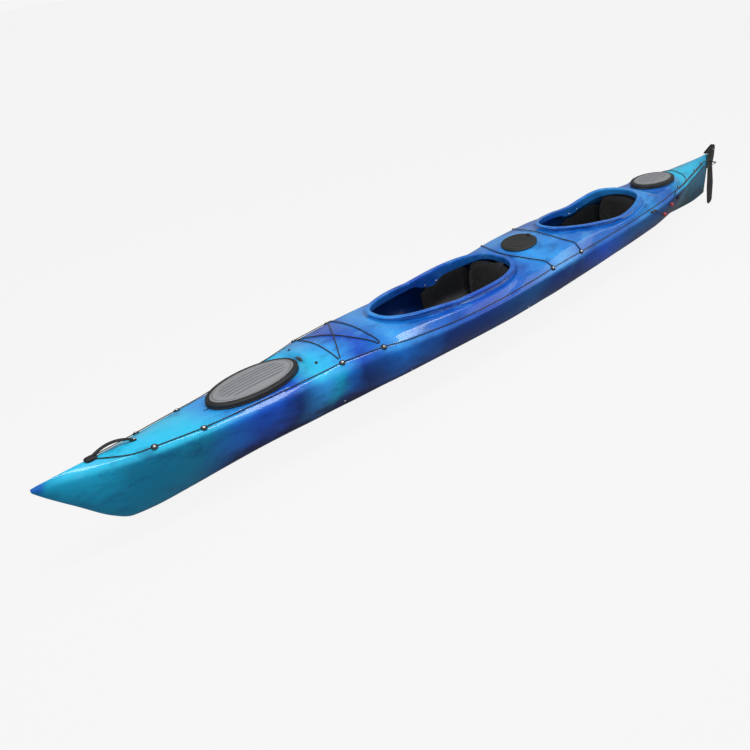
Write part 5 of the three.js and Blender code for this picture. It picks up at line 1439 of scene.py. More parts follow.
def fitted(profile, spots, scale=1.0, count=28):
    """Copies of a turned piece on the deck, each along the normal at its place."""
    part = lathe(np.array(profile) * scale, count)
    places, normals = deck_frame(np.array([s[0] for s in spots]), np.array([s[1] for s in spots]))
    return stacked([moved(part, frame_at(p, n)) for p, n in zip(places, normals)])


guide_spots = [(x, side * float(line_seat(x))) for _, side in SIDES for x in guide_x]
guides = piece("line_guides", *fitted(GUIDE_PROFILE, guide_spots), BLACK_PLASTIC)
for hand, _ in SIDES:
    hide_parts(*["line_guide_%s_%d" % (hand, n) for n in range(1, 7)])
piece("guide_screws", *fitted(SCREW_PROFILE, guide_spots), STAINLESS)
stern_x = hull_x(STERN_GUIDE_SHARE)
small_spots = [(stern_x, side * float(line_seat(stern_x))) for _, side in SIDES]
small_spots += [(hull_x(share), side * (float(hull_at(hull_x(share))["edge_y"]) - SMALL_INSET))
                for share in SMALL_SHARES for _, side in SIDES]
piece("small_guides", *fitted(GUIDE_PROFILE, small_spots, SMALL_SCALE, 20), BLACK_PLASTIC)
piece("small_guide_screws", *fitted(SCREW_PROFILE, small_spots, SMALL_SCALE, 16), STAINLESS)

# %% Red balls on the lift lines
BALL_RADIUS = 13.0
BORE_RADIUS, BORE_TURN = 3.0, 0.3
RED_BALL = clouded("red_ball", (60.0, 3.0, 0.6), (0.35, 0.7), ("#8e1c20", "#c42a2c"),
                   (0.28, 0.2), (500.0,), (0.0004, 0.5), coat=0.4, coat_roughness=0.12)


def ball_profile():
    """A ball with a rounded mouth at each end of its bore, turned round its bore."""
    turn = np.linspace(BORE_TURN, np.pi - BORE_TURN, 17)
    outer = [(BALL_RADIUS * math.sin(t), -BALL_RADIUS * math.cos(t)) for t in turn]
    lip, deep = BALL_RADIUS * math.cos(BORE_TURN) - 0.3, BALL_RADIUS - 3
    low = [(BORE_RADIUS, -deep), (BORE_RADIUS + 0.1, -lip)]
    return low + outer + [(BORE_RADIUS + 0.1, lip), (BORE_RADIUS, deep)]


for hand, side in SIDES:
    stops = lift_stops(side)
    for n, stop in enumerate(BALL_STOPS, 1):
        index = stop + len(KNOT_STEPS)
        ball_place = frame_at(stops[index], stops[index + 1] - stops[index - 1], (0.0, 0.0, 1.0))
        grid = turned(ball_profile(), 28)
        part = moved(surface(grid, closed_rows=True, closed_columns=True), ball_place)
        ball = piece("red_ball_%s_%d" % (hand, n), *part, RED_BALL)
        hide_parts("lift_ball_%s_%d" % (hand, n))

# %% Thigh-brace screws, and glands where the steering lines enter the hull
BRACE_SCALE, BRACE_SINK = 0.75, 5.4
sunk_screw = [(r * BRACE_SCALE, z * BRACE_SCALE - BRACE_SINK) for r, z in SCREW_PROFILE]
brace_screws = [moved(lathe(sunk_screw, 20), spot) for spot in brace_spots]
piece("brace_screws", *stacked(brace_screws), STAINLESS)
GLAND_PROFILE = [
    (0, -9), (8.5, -9), (9.2, -4), (8.6, 2), (6.6, 10), (4.9, 20), (4.0, 27), (3.5, 28), (0, 28),
]
glands = []
for _, side in SIDES:
    stops = steer_stops(side)
    hole = frame_at(stops[-1], stops[-2] - stops[-1], (0.0, 0.0, 1.0))
    glands.append(moved(lathe(GLAND_PROFILE, 28), hole))
piece("steering_glands", *stacked(glands), BLACK_RUBBER)

# %% Bow carrying handle
STRAP_WIDTH, STRAP_THICK, STRAP_FOOT, STRAP_RISE = 17.0, 10.0, 5.5, 30.0
HANDLE_POINTS = 41
AFT_FOOT, FORE_FOOT = (32, 20, 9), (62, 38, 11)
FORE_FOOT_AHEAD = 6.0
HANDLE_SCREWS = (-6.0, 18.0)
HANDLE_SCREW_RISE, HANDLE_SCREW_SCALE = 1.2, 0.86


def handle_strap():
    """A moulded strap: a flat oval section carried over an arch between its two feet."""
    share = np.linspace(0, 1, HANDLE_POINTS)
    x = handle_aft + (handle_fore - handle_aft) * share
    low = deck_z(handle_aft, 0) + (deck_z(handle_fore, 0) - deck_z(handle_aft, 0)) * share
    z = low + STRAP_FOOT + STRAP_RISE * np.sin(np.pi * share) ** 0.8
    path = np.stack([x, 0 * x, z], -1)
    ahead = unit(np.gradient(path, axis=0))
    top = np.stack([-ahead[:, 2], 0 * x, ahead[:, 0]], -1)
    turn = full_turn(24)
    across = signed_power(np.cos(turn), 0.5) * STRAP_WIDTH / 2
    thick = signed_power(np.sin(turn), 0.8) * STRAP_THICK / 2
    belly = 1 + 0.12 * np.sin(np.pi * share)[:, None]
    grid = path[:, None] + top[:, None] * thick[None, :, None]
    grid[..., 1] += across * belly
    return surface(capped(grid), closed_columns=True)


def handle_foot(x, long, wide, high):
    """A rounded block on the ridge: superellipse rings that draw in towards its top."""
    rings = np.array([
        (0.9, -7.0), (1, 0.5), (1, high * 0.45), (0.95, high * 0.75), (0.8, high * 0.95), (0.5, high),
    ])
    across, out = squarish_ring(40, 0.7)
    share = rings[:, :1]
    grid = at_heights(share * (across * long / 2), share * (out * wide / 2), rings[:, 1:])
    place, normal = deck_frame(np.array(x), np.array(0.0))
    return moved(surface(capped(grid), closed_columns=True), frame_at(place, normal))


handle = piece("bow_strap", *stacked([
    handle_strap(), handle_foot(handle_aft, *AFT_FOOT),
    handle_foot(handle_fore + FORE_FOOT_AHEAD, *FORE_FOOT),
]), BLACK_RUBBER)
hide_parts("bow_handle")
screw_spots = [(handle_aft + HANDLE_SCREWS[0], 0.0), (handle_fore + HANDLE_SCREWS[1], 0.0)]
raised = [(r, z + HANDLE_SCREW_RISE) for r, z in SCREW_PROFILE]
piece("handle_screws", *fitted(raised, screw_spots, HANDLE_SCREW_SCALE, 24), STAINLESS)

# %% [markdown]
# ## Seats
# A thin moulded pan hangs between hip plates and stands on two runners. On it lies a foam
# pad in woven cloth, and a padded backrest folds down behind it. The pads are blown up a
# little by a cloth simulation, and seams and piping are laid on afterwards, because the
# remesh before the simulation would wipe them out.

# %% Seat finishes
THREAD_PITCH = 0.0022


def seat_fabric_finish():
    """Black woven polyester: fine plain weave, soft creases, and dust in random patches. Painted shade
    darkens it between the threads of the weave.
    """
    material, wire, shader = finish("seat_fabric", roughness=0.85, sheen=0.18, specular=0.2)
    place = wire.place()
    pitch = 2 * math.pi / THREAD_PITCH
    warp = wire.maths("SINE", place.axis("Y") * pitch)
    weft = wire.maths("SINE", (place.axis("X") + place.axis("Z")) * pitch)
    weave = wire.maths("MULTIPLY", warp, weft) * 0.5 + 0.5
    crease = wire.noise(place, 16.0, 4.0, 0.62)
    dust = wire.noise(place, 7.0, 3.0, 0.6)
    # Painted shade: the weave's height makes the cloth darker between its threads.
    colour = (weave * 0.5 + dust * 0.7).rise(0.3, 1.0).mixed(linear("#0a0a0b"), linear("#201f1f"))
    plug(shader, "Base Color", colour)
    plug(shader, "Roughness", 0.68 + weave * 0.2)
    bumped(wire, shader, weave * 0.05 + crease * 2.2, 0.0042, 0.8)
    return material


SEAT_FABRIC = seat_fabric_finish()
PIPING = nylon_finish("seat_piping", "#1c1d1f", "#3a3b3d", 0.5, "seat_fabric")
SEAT_SHELL = nylon_finish("seat_shell", "#101113", "#1f2124", 0.4, "black_plastic")

# %% Seat pans
SEAT_LENGTH, SEAT_BACK, SEAT_FLOOR, SEAT_WALL = 346.0, 130.0, 26.0, 4.0
HIP_RISE, HIP_INSET = 262.0, 1.2
REAR_HIP_DROP = 21.0
HIP_WING = 70.0
HIP_OVERLAP = 4.0
FRONT_DROP = 40.0
RUNNER_WIDTH, RUNNER_SPREAD, RUNNER_FOOT = 12.0, 116.0, 5.6
LUG_HALF, LUG_TOP = 10.0, 38.5
PAD_INSET, PAD_RISE = 16.0, 34.0
BACK_HEIGHT, BACK_THICK, BACK_LEAN, BACK_WRAP = 246.0, 38.0, 0.42, 46.0
BEND = ((0, 0), (0.35, 0.46), (0.55, 0.74), (0.72, 0.93), (1, 1))
RISE = ((0, 0), (0.35, 0.02), (0.55, 0.16), (0.72, 0.42), (1, 1))


def seat_back(opening):
    """Where the back edge of the seat lies along the boat."""
    return opening["aft"] + SEAT_BACK


def slab(upper, lower):
    """Two sheets of points joined round their edges. The end rows meet half way between them."""
    middle = (upper + lower) / 2
    upper = np.concatenate([middle[:1], upper, middle[-1:]])
    lower = np.concatenate([middle[:1], lower, middle[-1:]])
    return surface(np.concatenate([upper, lower[:, ::-1]], axis=1), closed_columns=True)


def pan_points(opening, x, share, inset):
    """Down one hip plate, along the seat's floor and up the other, by two tables."""
    rim = edge_half_width(opening, x) - HIP_INSET - inset
    top = HIP_RISE - (REAR_HIP_DROP if opening is rear_cockpit else 0)
    floor_z = SEAT_FLOOR + inset
    y = np.sign(share) * rim * table(BEND, np.abs(share))
    z = floor_z + (top - floor_z) * table(RISE, np.abs(share))
    return np.stack(np.broadcast_arrays(x, y, z), -1)


def block(low, high, corner=3.0):
    """A box with rounded edges: rings of a squarish superellipse that draw in at both ends."""
    low, high = np.array(low, float), np.array(high, float)
    half, centre = (high - low) / 2, (high + low) / 2
    steps = np.array([(-1, corner), (-1, corner / 2), (-1, 0), (1, 0), (1, corner / 2), (1, corner)])
    height = np.array([0, corner * 0.2, corner, -corner, -corner * 0.2, 0])
    across, out = squarish_ring(32, 0.25)
    draw = steps[:, 1:]
    level = (steps[:, 0] * half[2] + height)[:, None]
    grid = at_heights((half[0] - draw) * across, (half[1] - draw) * out, level)
    return surface(capped(grid + centre), closed_columns=True)


def pan_sheets(opening, low, high, rows, shares):
    """Inner and outer sheet of the pan. Its hip plates end just under the coaming's skirt.

    Behind the seat's back edge the section stays as it is there, so the plates run straight aft.
    """
    back = seat_back(opening)
    x = back + np.linspace(low, high, rows)[:, None]
    share = shares[None, :]
    sheets = []
    for inset in (SEAT_WALL, 0.0):
        grid = pan_points(opening, np.maximum(x, back), share, inset)
        grid[..., 0] = x
        near_front = smoothstep(0.8, 1.0, (x - back) / SEAT_LENGTH)
        limit = skirt_foot(opening, x) + HIP_OVERLAP - FRONT_DROP * near_front
        fall = np.clip(1 - (limit - SEAT_FLOOR) / (HIP_RISE - SEAT_FLOOR), 0, 1)
        fall = fall + smoothstep(0, -HIP_WING, x - back) * 0.12
        weight = smoothstep(0.45, 0.7, np.abs(share))
        grid[..., 2] -= (grid[..., 2] - SEAT_FLOOR) * fall * weight
        sheets.append(grid)
    return sheets


def pan_part(opening):
    """The pan between two sheets, a wing of each hip plate beside the backrest, and runners."""
    back = seat_back(opening)
    sheets = pan_sheets(opening, 0, SEAT_LENGTH, 30, np.linspace(-1, 1, 49))
    aft, fore = back - PAD_INSET - LUG_HALF, back - PAD_INSET + LUG_HALF
    wings, runners = [], []
    for side in (-1, 1):
        shares = side * np.linspace(0.6, 1, 14)
        wings.append(slab(*pan_sheets(opening, -HIP_WING, 4, 8, shares)))
        y, half = side * RUNNER_SPREAD / 2, RUNNER_WIDTH / 2
        end = (back + SEAT_LENGTH - 4, y + half, SEAT_FLOOR + 1)
        runners.append(block((aft, y - half, RUNNER_FOOT), end))
        runners.append(block((aft, y - half, SEAT_FLOOR - 6), (fore, y + half, LUG_TOP)))
    return stacked([slab(*sheets)] + wings + runners)


for opening in COCKPITS:
    label = opening["name"] + "_seat"
    pan = piece(label + "_shell", *pan_part(opening), SEAT_SHELL)
    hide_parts(label + "_pan")

# %% Blowing up the padded pieces
VOXEL = 0.006
SIM_FRAMES = 20


def mesh_points(mesh, key="co"):
    """Three numbers of each of a mesh's points: its place, or its normal."""
    points = np.empty(len(mesh.vertices) * 3, np.float32)
    mesh.vertices.foreach_get(key, points)
    return points.reshape(-1, 3).astype(float)


def baked(made):
    """Applies a piece's modifiers by taking its evaluated mesh."""
    shown = made.evaluated_get(bpy.context.evaluated_depsgraph_get())
    mesh = bpy.data.meshes.new_from_object(shown)
    made.modifiers.clear()
    made.data = mesh


def puffed(made, most, keep=None):
    """Pressure inside a cloth skin. No point moves further than most, and keep holds some still."""
    remesh = made.modifiers.new("even", "REMESH")
    remesh.mode = "VOXEL"
    remesh.voxel_size = VOXEL
    baked(made)
    start = mesh_points(made.data)
    cloth = made.modifiers.new("cloth", "CLOTH")
    cloth.settings.quality = 4
    cloth.settings.use_pressure = True
    cloth.settings.uniform_pressure_force = 4.0
    cloth.settings.tension_stiffness = 12.0
    cloth.settings.effector_weights.gravity = 0.0
    scene = bpy.context.scene
    for frame_number in range(1, SIM_FRAMES + 1):
        scene.frame_set(frame_number)
    shown = made.evaluated_get(bpy.context.evaluated_depsgraph_get())
    end = mesh_points(shown.to_mesh())
    shown.to_mesh_clear()
    step = end - start
    size = np.linalg.norm(step, axis=1, keepdims=True)
    step *= np.minimum(1, most / np.maximum(size, 1e-9))
    if keep is not None:
        step *= (1 - keep(start / MM))[:, None]
    made.modifiers.clear()
    scene.frame_set(1)
    made.data.vertices.foreach_set("co", (start + step).astype(np.float32).ravel())
    made.data.update()
    smooth = made.modifiers.new("smooth", "SUBSURF")
    smooth.levels = smooth.render_levels = 1
    baked(made)
    made.data.shade_smooth()
    print(made.name, "moved up to", round(float(size.max()) * 1000, 1), "mm before the cap")


def quilted(made, depth, groove):
    """Draws points in along their normals by a depth, wherever groove of their place is 1."""
    mesh = made.data
    points = mesh_points(mesh)
    amount = groove(points / MM)[:, None] * depth * MM
    points = points - mesh_points(mesh, "normal") * amount
    mesh.vertices.foreach_set("co", points.astype(np.float32).ravel())
    mesh.update()


def crumple(points, size, depth):
    """Soft folds: waves along tilted directions bend each other, and 1 - |sine| gives ridges."""
    total = np.zeros(len(points))
    bend = np.zeros(len(points))
    for n in range(5):
        turn = 0.9 + 2.4 * n
        aim = np.array([math.cos(turn), math.sin(turn) * 0.8, math.sin(turn * 1.7)])
        wave = points @ aim * (2 * math.pi / size) * (1 + 0.37 * n) + 1.3 * n + 1.4 * bend
        bend = np.sin(wave)
        total += (1 - np.abs(np.sin(wave * 0.5))) ** 3 * 0.7 ** n
    return total * depth


# %% Seat pads
DISH_DEPTH, DISH_OUT = 0.28, 0.36
PAD_SEAM_OUT, PAD_SEAM_AFT, SEAM_WIDTH = 52.0, 150.0, 3.2
PAD_SEAM_FOOT = 44.0


def pad_place(opening, u, v):
    """The pad's underside on the pan: u runs aft to front, v from side to side."""
    back = seat_back(opening) + PAD_INSET * 2
    front = seat_back(opening) + SEAT_LENGTH - PAD_INSET / 2
    x = (back + front) / 2 + (front - back) / 2 * u
    return pan_points(opening, x, v / 2, SEAT_WALL + 0.8)


def pad_part(opening):
    """A crowned pad that follows the pan below and pulls in between its corners."""
    u = np.linspace(-1, 1, 40)[:, None]
    v = np.linspace(-1, 1, 40)[None, :]
    u, v = np.broadcast_arrays(u, v)
    low = pad_place(opening, u, v)
    low[..., 0] += 7 * (1 - v ** 2) * u ** 3 - 9 * np.abs(v) ** 6 * np.sign(u) * (np.abs(u) > 0.9)
    crown = (1 - np.abs(u) ** 5) ** 0.6 * (1 - np.abs(v) ** 5) ** 0.6
    dish = 1.0
    for middle in (DISH_OUT, -DISH_OUT):
        dish = dish - DISH_DEPTH * np.exp(-(((v - middle) / 0.26) ** 2 + ((u + 0.2) / 0.5) ** 2))
    high = low.copy()
    high[..., 2] += 3 + (PAD_RISE - 8) * crown * dish
    return slab(high, low)


def pad_groove(opening):
    """Two sewn channels along the pad and one across it."""
    back = seat_back(opening)

    def groove(points):
        out = np.abs(points[:, 1])
        along = bell(out, PAD_SEAM_OUT, SEAM_WIDTH)
        across = bell(points[:, 0] - back, PAD_SEAM_AFT, SEAM_WIDTH) * (out < PAD_SEAM_OUT)
        return np.minimum(1, along + across) * (points[:, 2] > PAD_SEAM_FOOT)
    return groove


for opening in COCKPITS:
    label = opening["name"] + "_seat_pad"
    pad = piece(label + "_cushion", *pad_part(opening), SEAT_FABRIC, crease=75)
    puffed(pad, 0.005, lambda p: 1 - smoothstep(34, 42, p[:, 2]))
    quilted(pad, 3.2, pad_groove(opening))
    quilted(pad, -1.0, lambda p: crumple(p, 140.0, 1.2) * (p[:, 2] > 40))
    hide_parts(label)
    v = np.linspace(-0.96, 0.96, 31)
    low = pad_place(opening, np.ones(31) * 0.985, v)
    edge = low + np.stack([7 * (1 - v ** 2), 0 * v, np.full(31, 5.0)], -1)
    piece(label + "_piping", *tube_part(edge, 2.3, 8), PIPING, crease=80)

# %% Backrests
BACK_WIDTHS = ((0, 0.7), (0.3, 0.92), (0.6, 1.04), (0.85, 1.04), (1, 0.96))
BACK_EXTRA = 12.0
BACK_FOOT = 9.0
BACK_SHARE = 0.86
BACK_PUFF = 9.0
BACK_SEAM_OUT, BACK_SEAM_UP = 0.62, 0.52


def back_frame(opening):
    """Turns a point of the upright backrest about its hinge, and puts it behind the seat."""
    level = SEAT_FLOOR + SEAT_WALL + BACK_THICK / 2
    c, s = math.cos(BACK_LEAN), math.sin(BACK_LEAN)
    matrix = np.eye(4)
    matrix[:3, :3] = [[c, 0, -s], [0, 1, 0], [s, 0, c]]
    matrix[:3, 3] = (seat_back(opening) - PAD_INSET, 0, level)
    return matrix


def back_half_width(opening):
    """Half width of the backrest, from that of the opening above it."""
    return BACK_SHARE * float(edge_half_width(opening, seat_back(opening)))


def back_sheet(opening, u, v, offset):
    """A point of the backrest's middle sheet, wrapped forward at its sides, and set off it."""
    half = back_half_width(opening) * table(BACK_WIDTHS, u)
    wrap = BACK_WRAP * v ** 2 * u
    droop = 0.1 * BACK_HEIGHT * u * np.abs(v) ** 3
    z = -BACK_FOOT + (BACK_HEIGHT + BACK_EXTRA + BACK_FOOT) * u - droop
    return np.stack([wrap + offset, half * v, z], -1)


def back_part(opening):
    """Two sheets that meet all round: thickness falls to nothing at every edge."""
    u = np.linspace(0, 1, 44)[:, None]
    v = np.linspace(-1, 1, 44)[None, :]
    u, v = np.broadcast_arrays(u, v)
    span = np.abs(2 * u - 1)
    full = np.clip((1 - span ** 6), 0, 1) ** 0.5 * np.clip(1 - np.abs(v) ** 6, 0, 1) ** 0.5
    lumbar = 1 + 0.18 * bell(u, 0.38, 0.2)
    thick = (BACK_THICK - BACK_PUFF) / 2 * full * lumbar * (0.55 + 0.45 * smoothstep(0, 0.3, u))
    sheets = [back_sheet(opening, u, v, offset) for offset in (thick, -thick)]
    return moved(slab(*sheets), back_frame(opening))


def back_groove(opening):
    """A stitched panel line inside the border, and a crease across the small of the back."""
    matrix = back_frame(opening)
    width = back_half_width(opening)

    def groove(points):
        local = (points - matrix[:3, 3]) @ matrix[:3, :3]
        up = (local[:, 2] + BACK_FOOT) / (BACK_HEIGHT + BACK_FOOT)
        across = np.abs(local[:, 1]) / width
        side = bell(across, BACK_SEAM_OUT, 0.022) * (up > 0.12) * (up < 0.9)
        cross = bell(up - BACK_SEAM_UP, 0.05 * across ** 2, 0.016) * (across < BACK_SEAM_OUT)
        return np.minimum(1, side + cross) * (local[:, 0] > 0)
    return groove


def back_edge(opening):
    """Piping along the seam: up one side, over the top and down the other."""
    turn = np.linspace(-1, 1, 61)
    u = np.concatenate([np.linspace(0.1, 0.93, 20), np.full(61, 0.985), np.linspace(0.93, 0.1, 20)])
    v = np.concatenate([np.full(20, -0.985), turn * 0.93, np.full(20, 0.985)])
    sheet = back_sheet(opening, u, v, 0.0)
    path = np.stack([blurred(column, 3) for column in sheet.T], -1)
    matrix = back_frame(opening)
    return path @ matrix[:3, :3].T + matrix[:3, 3]


for opening in COCKPITS:
    label = opening["name"] + "_backrest"
    rest = piece(label + "_cushion", *back_part(opening), SEAT_FABRIC, label + "_body", 75)
    puffed(rest, 0.006)
    quilted(rest, 3.0, back_groove(opening))
    quilted(rest, -1.0, lambda p: crumple(p, 120.0, 2.8))
    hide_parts(label)
    piece(label + "_piping", *tube_part(back_edge(opening), 2.2, 8, lean=(1.0, 0.0, 0.2)), PIPING,
          label + "_body", 80)

# %% [markdown]
# ## Moulded hardware
# Foot braces, the rudder's fittings and the cleats are already right in the CAD model, apart
# from their knife-sharp corners. A copy of each is merged and gets a small bevel, which is
# what catches the light on a real moulding.

# %% Bevelled copies of CAD nodes


def dressed(node, material, body="boat", width=1.0, segments=2, crease=32):
    """A copy of a CAD node whose flat faces are joined and whose corners are rounded off."""
    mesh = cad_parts[node].data.copy()
    mesh.name = node + "_dressed"
    shape = bmesh.new()
    shape.from_mesh(mesh)
    bmesh.ops.remove_doubles(shape, verts=shape.verts, dist=2e-5)
    bmesh.ops.dissolve_limit(shape, angle_limit=math.radians(1.5), verts=shape.verts, edges=shape.edges)
    shape.to_mesh(mesh)
    shape.free()
    mesh.materials.clear()
    mesh.materials.append(material)
    made = bpy.data.objects.new(node + "_dressed", mesh)
    bpy.context.scene.collection.objects.link(made)
    bevel = made.modifiers.new("corners", "BEVEL")
    bevel.width = width * MM
    bevel.segments = segments
    bevel.limit_method = "ANGLE"
    bevel.angle_limit = math.radians(crease)
    bevel.use_clamp_overlap = True
    baked(made)
    made.data.shade_smooth()
    made.data.set_sharp_from_angle(angle=math.radians(crease + 8))
    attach(made, body)
    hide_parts(node)
    return made


for hand, _ in SIDES:
    for end in ("front", "rear"):
        dressed("%s_foot_rail_%s" % (end, hand), BLACK_PLASTIC, width=1.2)
    dressed("front_foot_pedal_" + hand, BLACK_PLASTIC, "front_pedal_" + hand, width=1.2)
    dressed("rear_pedal_carriage_" + hand, BLACK_PLASTIC, "rear_carriage_" + hand, width=0.8)
    dressed("rear_toe_pedal_" + hand, BLACK_PLASTIC, "rear_toe_" + hand, width=1.2)
    dressed("lift_cleat_" + hand, BLACK_PLASTIC, width=1.4)
dressed("rudder_bracket", BLACK_PLASTIC, width=0.9)
dressed("rudder_head", BLACK_PLASTIC, "rudder_stock", width=1.1)
dressed("rudder_yaw_pin", STAINLESS, width=0.8)
dressed("rudder_blade_bolt", STAINLESS, "rudder_stock", width=0.9)

# %% Welded bulkheads and the skid under the stern
# The bulkheads are grey plastic sheet: matt, faintly cloudy, with an orange-peel skin.
BULKHEAD = clouded("bulkhead", (9.0, 4.0, 0.6), None, ("#3c4045", "#565a60"),
                   (0.5, 0.2), (240.0,), (0.0005, 0.5), specular=0.4)
for end in ("bow", "stern"):
    dressed(end + "_bulkhead", BULKHEAD, width=0.8)
dressed("stern_skid", BLACK_PLASTIC, width=0.6)

# %% [markdown]
# ## Rudder blade
# The blade is a thin foil that hangs from the head by one bolt. Its edges are read from the
# outline at each height, and the section between them is an ellipse-like foil, full at a
# third of the chord and thin behind.

# %% The blade as a foil
PIVOT_X, PIVOT_Z = YAW_X - 56, 0.857 * DEPTH
BLADE_THICK = 8.0
BLADE_FOOT, BLADE_TOP = -442.0, 22.9
BLADE_LEADING = (
    (BLADE_FOOT, 10), (-436, 27), (-424, 36), (-406, 40), (-300, 51), (-128, 53), (-119, 37),
    (-60, 36), (-30, 35), (-10, 27), (0, 23), (12, 19), (19, 12.5), (BLADE_TOP, 3),
)
BLADE_TRAILING = (
    (BLADE_FOOT, 6), (-437, -14), (-428, -27), (-414, -36), (-278, -41), (-125, -16), (-60, -17),
    (0, -23), (12, -19), (19, -12.5), (BLADE_TOP, -3),
)


def blade_part():
    """Rows are heights, columns go round a foil between the trailing and leading edges."""
    tip = BLADE_FOOT + 36 * np.linspace(0, 1, 14) ** 1.6
    head = BLADE_TOP * np.sin(np.linspace(0, np.pi / 2, 12))
    z = np.concatenate([tip, np.linspace(-396, -6, 52), head])
    fore, aft = straight(BLADE_LEADING, z)[:, None], straight(BLADE_TRAILING, z)[:, None]
    turn = full_turn(56)[None, :]
    chord = (np.cos(turn) + 1) / 2
    x = aft + (fore - aft) * chord
    near_tip = smoothstep(BLADE_FOOT, BLADE_FOOT + 18, z)[:, None]
    flat = smoothstep(-70, -30, z)[:, None]
    foil = signed_power(np.sin(turn), 0.75) * (0.55 + 0.45 * chord ** 0.5)
    plate = signed_power(np.sin(turn), 0.35)
    y = BLADE_THICK / 2 * (0.25 + 0.75 * near_tip) * (foil * (1 - flat) + plate * flat)
    grid = np.stack(np.broadcast_arrays(PIVOT_X + x, y, PIVOT_Z + z[:, None]), -1)
    return surface(capped(grid), closed_columns=True)


blade = piece("rudder_blade_foil", *blade_part(), BLACK_PLASTIC, "rudder_foil", 60)
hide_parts("rudder_blade")

# %% Bolts through the hull's side, and small deck details
BOLT_PROFILE = [
    (0, -0.5), (6.5, -0.5), (6.6, 0.6), (6.0, 1.8), (4.6, 2.7), (2.8, 3.1), (2.6, 2.2), (0, 2.2),
]
RAIL_ENDS = ((0.636, 0.211), (0.7179, 0.249), (0.3861, 0.206), (0.4655, 0.246))
PLUG_X, PLUG_Y = 1282.0, 118.0
SIDE_STEP = 6.0


def side_frame(share, up, side):
    """A place on the hull's side and its outward normal, from the side's own slopes."""
    x, z = hull_x(share), up * DEPTH
    ahead, behind = (float(side_at(x + step, z)) for step in (SIDE_STEP, -SIDE_STEP))
    above, below = (float(side_at(x, z + step)) for step in (SIDE_STEP, -SIDE_STEP))
    slope_x, slope_z = (ahead - behind) / (2 * SIDE_STEP), (above - below) / (2 * SIDE_STEP)
    return frame_at((x, side * float(side_at(x, z)), z), (-slope_x, side, -slope_z))


bolts = [moved(lathe(BOLT_PROFILE, 20), side_frame(share, up, side))
         for share, up in RAIL_ENDS for _, side in SIDES]
piece("rail_bolts", *stacked(bolts), STAINLESS)
BUTTON_PROFILE = [(0, -1.0), (7.5, -1.0), (8.6, 0.4), (8.4, 2.0), (6.6, 3.4), (3.4, 4.2), (0, 4.3)]
button_spots = [(PLUG_X, side * PLUG_Y) for _, side in SIDES]
piece("deck_plugs", *fitted(BUTTON_PROFILE, button_spots, 1.0, 24), BLACK_RUBBER)

# %% Tethers of the hatch covers
TETHER_RUN, TETHER_SIDE, TETHER_RISE, TETHER_RADIUS = 26.0, 10.0, 6.0, 1.6
TETHER_HEIGHT = 2.2
for opening in (front_hatch, rear_hatch):
    reach = opening["cover"][0] + 0.5
    start = hatch_to_world(opening) @ np.array([reach, TETHER_SIDE, TETHER_RISE, 1])
    share = np.linspace(0, 1, 9)
    x = start[0] + TETHER_RUN * share
    y = TETHER_SIDE - TETHER_SIDE * share
    lie = deck_z(x, y) + TETHER_HEIGHT
    fall = lie + (start[2] - lie) * (1 - smoothstep(0, 0.5, share))
    path = eased_path(np.stack([x, y, np.where(share < 0.15, start[2], fall)], -1), 4.0)
    piece(opening["name"] + "_tether", *tube_part(path, TETHER_RADIUS, 8), BLACK_RUBBER, crease=80)

# %% [markdown]
# ## Floor, light and camera
# The boat is seen from above its port bow. A pale floor lies just below the rudder, and large
# soft lamps give the long highlights on the deck.

# %% Floor
FLOOR_Z = -0.145
FLOOR_SIZE = 90.0
FLOOR_GREY = (0.4, 0.4, 0.4, 1)
FLOOR_WHITE_SHARE = 0.88
floor_mesh = bpy.data.meshes.new("floor")
floor_half = FLOOR_SIZE / 2
signs = ((-1, -1), (1, -1), (1, 1), (-1, 1))
floor_corners = [(a * floor_half, b * floor_half, FLOOR_Z) for a, b in signs]
floor_mesh.from_pydata(floor_corners, [], [(0, 1, 2, 3)])
floor = bpy.data.objects.new("floor", floor_mesh)
bpy.context.scene.collection.objects.link(floor)


def emptied(owner):
    """A first wire in the node tree of a material or a world, without its nodes."""
    owner.use_nodes = True
    owner.node_tree.nodes.clear()
    return Wire(owner.node_tree)


def floor_finish():
    """A pale grey floor. To the camera it is mostly its own white, so only the shadow shows."""
    material = bpy.data.materials.new("floor")
    wire = emptied(material)
    rays = wire.node("ShaderNodeLightPath", out="Is Camera Ray")
    matt = wire.node("ShaderNodeBsdfDiffuse", {"Color": FLOOR_GREY})
    white = wire.node("ShaderNodeEmission", {"Color": (1, 1, 1, 1), "Strength": 1.0})
    mixed = wire.node("ShaderNodeMixShader", {0: rays * FLOOR_WHITE_SHARE, 1: matt, 2: white})
    plug(wire.tree.nodes.new("ShaderNodeOutputMaterial"), "Surface", mixed)
    return material


floor_mesh.materials.append(floor_finish())

# %% World and lamps
WORLD_LEVEL = 0.42
WHITE_LEVEL = 0.92
GLOSS_SEES = 0.05


def world_light():
    """An even pale grey for light, and white where the camera or a gloss looks at it."""
    world = bpy.data.worlds.new("studio")
    bpy.context.scene.world = world
    wire = emptied(world)
    rays = wire.node("ShaderNodeLightPath", out="Is Camera Ray")
    gloss = wire.node("ShaderNodeLightPath", out="Is Glossy Ray")
    seen = wire.maths("MAXIMUM", rays, gloss * GLOSS_SEES)
    strength = WORLD_LEVEL + seen * (WHITE_LEVEL - WORLD_LEVEL)
    light = wire.node("ShaderNodeBackground", {"Color": (1, 1, 1, 1), "Strength": strength})
    plug(wire.tree.nodes.new("ShaderNodeOutputWorld"), "Surface", light)


world_light()


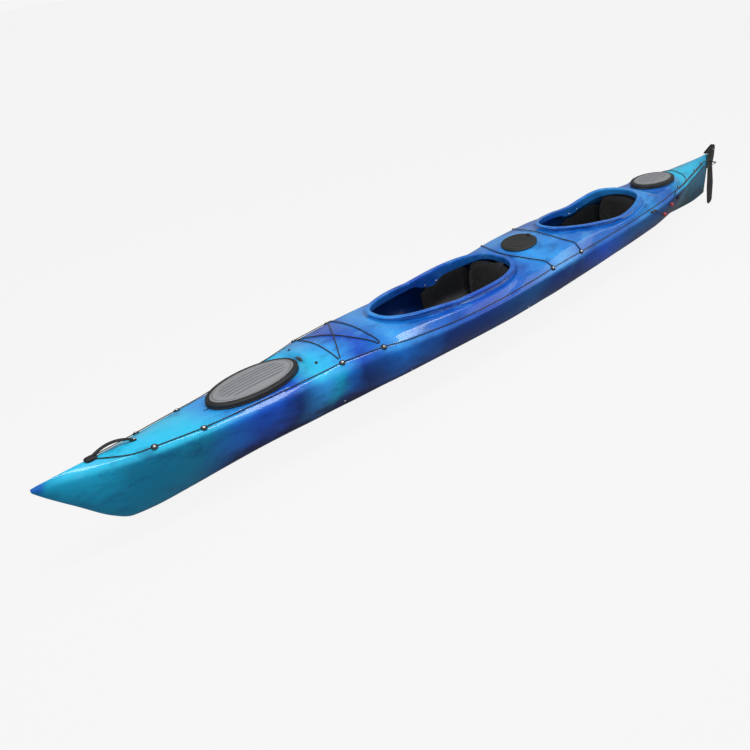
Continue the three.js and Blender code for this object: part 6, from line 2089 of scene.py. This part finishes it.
def lamp(name, place, aim, size, power, tall):
    """A rectangular area lamp that looks at a point."""
    data = bpy.data.lights.new(name, "AREA")
    data.shape = "RECTANGLE"
    data.size = size
    data.size_y = tall
    data.energy = power
    made = bpy.data.objects.new(name, data)
    made.location = place
    made.rotation_euler = (Vector(aim) - Vector(place)).to_track_quat("-Z", "Y").to_euler()
    bpy.context.scene.collection.objects.link(made)


lamp("overhead", (0.4, 1.2, 3.6), (0, 0, 0.2), 6.5, 115, 0.45)
lamp("bow_side", (4.6, 3.6, 2.4), (0.6, 0, 0.2), 3.0, 60, 2.0)
lamp("stern_side", (-4.5, 3.0, 2.6), (-1.0, 0, 0.2), 3.0, 45, 2.0)

# %% Camera
# The camera was worked out from the outline and the fittings that can be seen: turn, height
# and roll, then the place of the boat in the camera's own axes, in millimetres.
CAMERA_TURN = 141.991
CAMERA_RISE = 27.027
CAMERA_ROLL = -8.508
CAMERA_SHIFT = (622.284, 108.709, 5309.785)
CAMERA_LIFT = 40.0
FOCAL_PIXELS = 854.493
CENTRE_PIXELS = (373.887, 342.127)
PICTURE_PIXELS = 750.0
SENSOR = 36.0


def camera_axes():
    """The camera's right, up and backward directions, from its turn, rise and roll."""
    turn, rise, roll = (math.radians(a) for a in (CAMERA_TURN, CAMERA_RISE, CAMERA_ROLL))
    level = math.cos(rise)
    back = np.array([math.sin(turn) * level, -math.cos(turn) * level, math.sin(rise)])
    right = np.cross(-back, (0, 0, 1))
    right /= np.linalg.norm(right)
    up = np.cross(right, -back)
    c, s = math.cos(roll), math.sin(roll)
    return np.array([c * right + s * up, -s * right + c * up, back])


axes = camera_axes()
reach = np.array([CAMERA_SHIFT[0], CAMERA_SHIFT[1], -CAMERA_SHIFT[2]])
eye = (-axes.T @ reach - [0, 0, CAMERA_LIFT]) * MM
camera_data = bpy.data.cameras.new("camera")
camera_data.sensor_width = SENSOR
camera_data.lens = FOCAL_PIXELS / PICTURE_PIXELS * SENSOR
camera_data.shift_x = (PICTURE_PIXELS / 2 - CENTRE_PIXELS[0]) / PICTURE_PIXELS
camera_data.shift_y = (CENTRE_PIXELS[1] - PICTURE_PIXELS / 2) / PICTURE_PIXELS
camera = bpy.data.objects.new("camera", camera_data)
matrix = np.eye(4)
matrix[:3, :3] = axes.T
matrix[:3, 3] = eye
camera.matrix_world = Matrix(matrix.tolist())
bpy.context.scene.collection.objects.link(camera)
bpy.context.scene.camera = camera
bpy.context.scene.view_settings.view_transform = "Standard"
print("camera at", [round(float(v), 3) for v in eye])
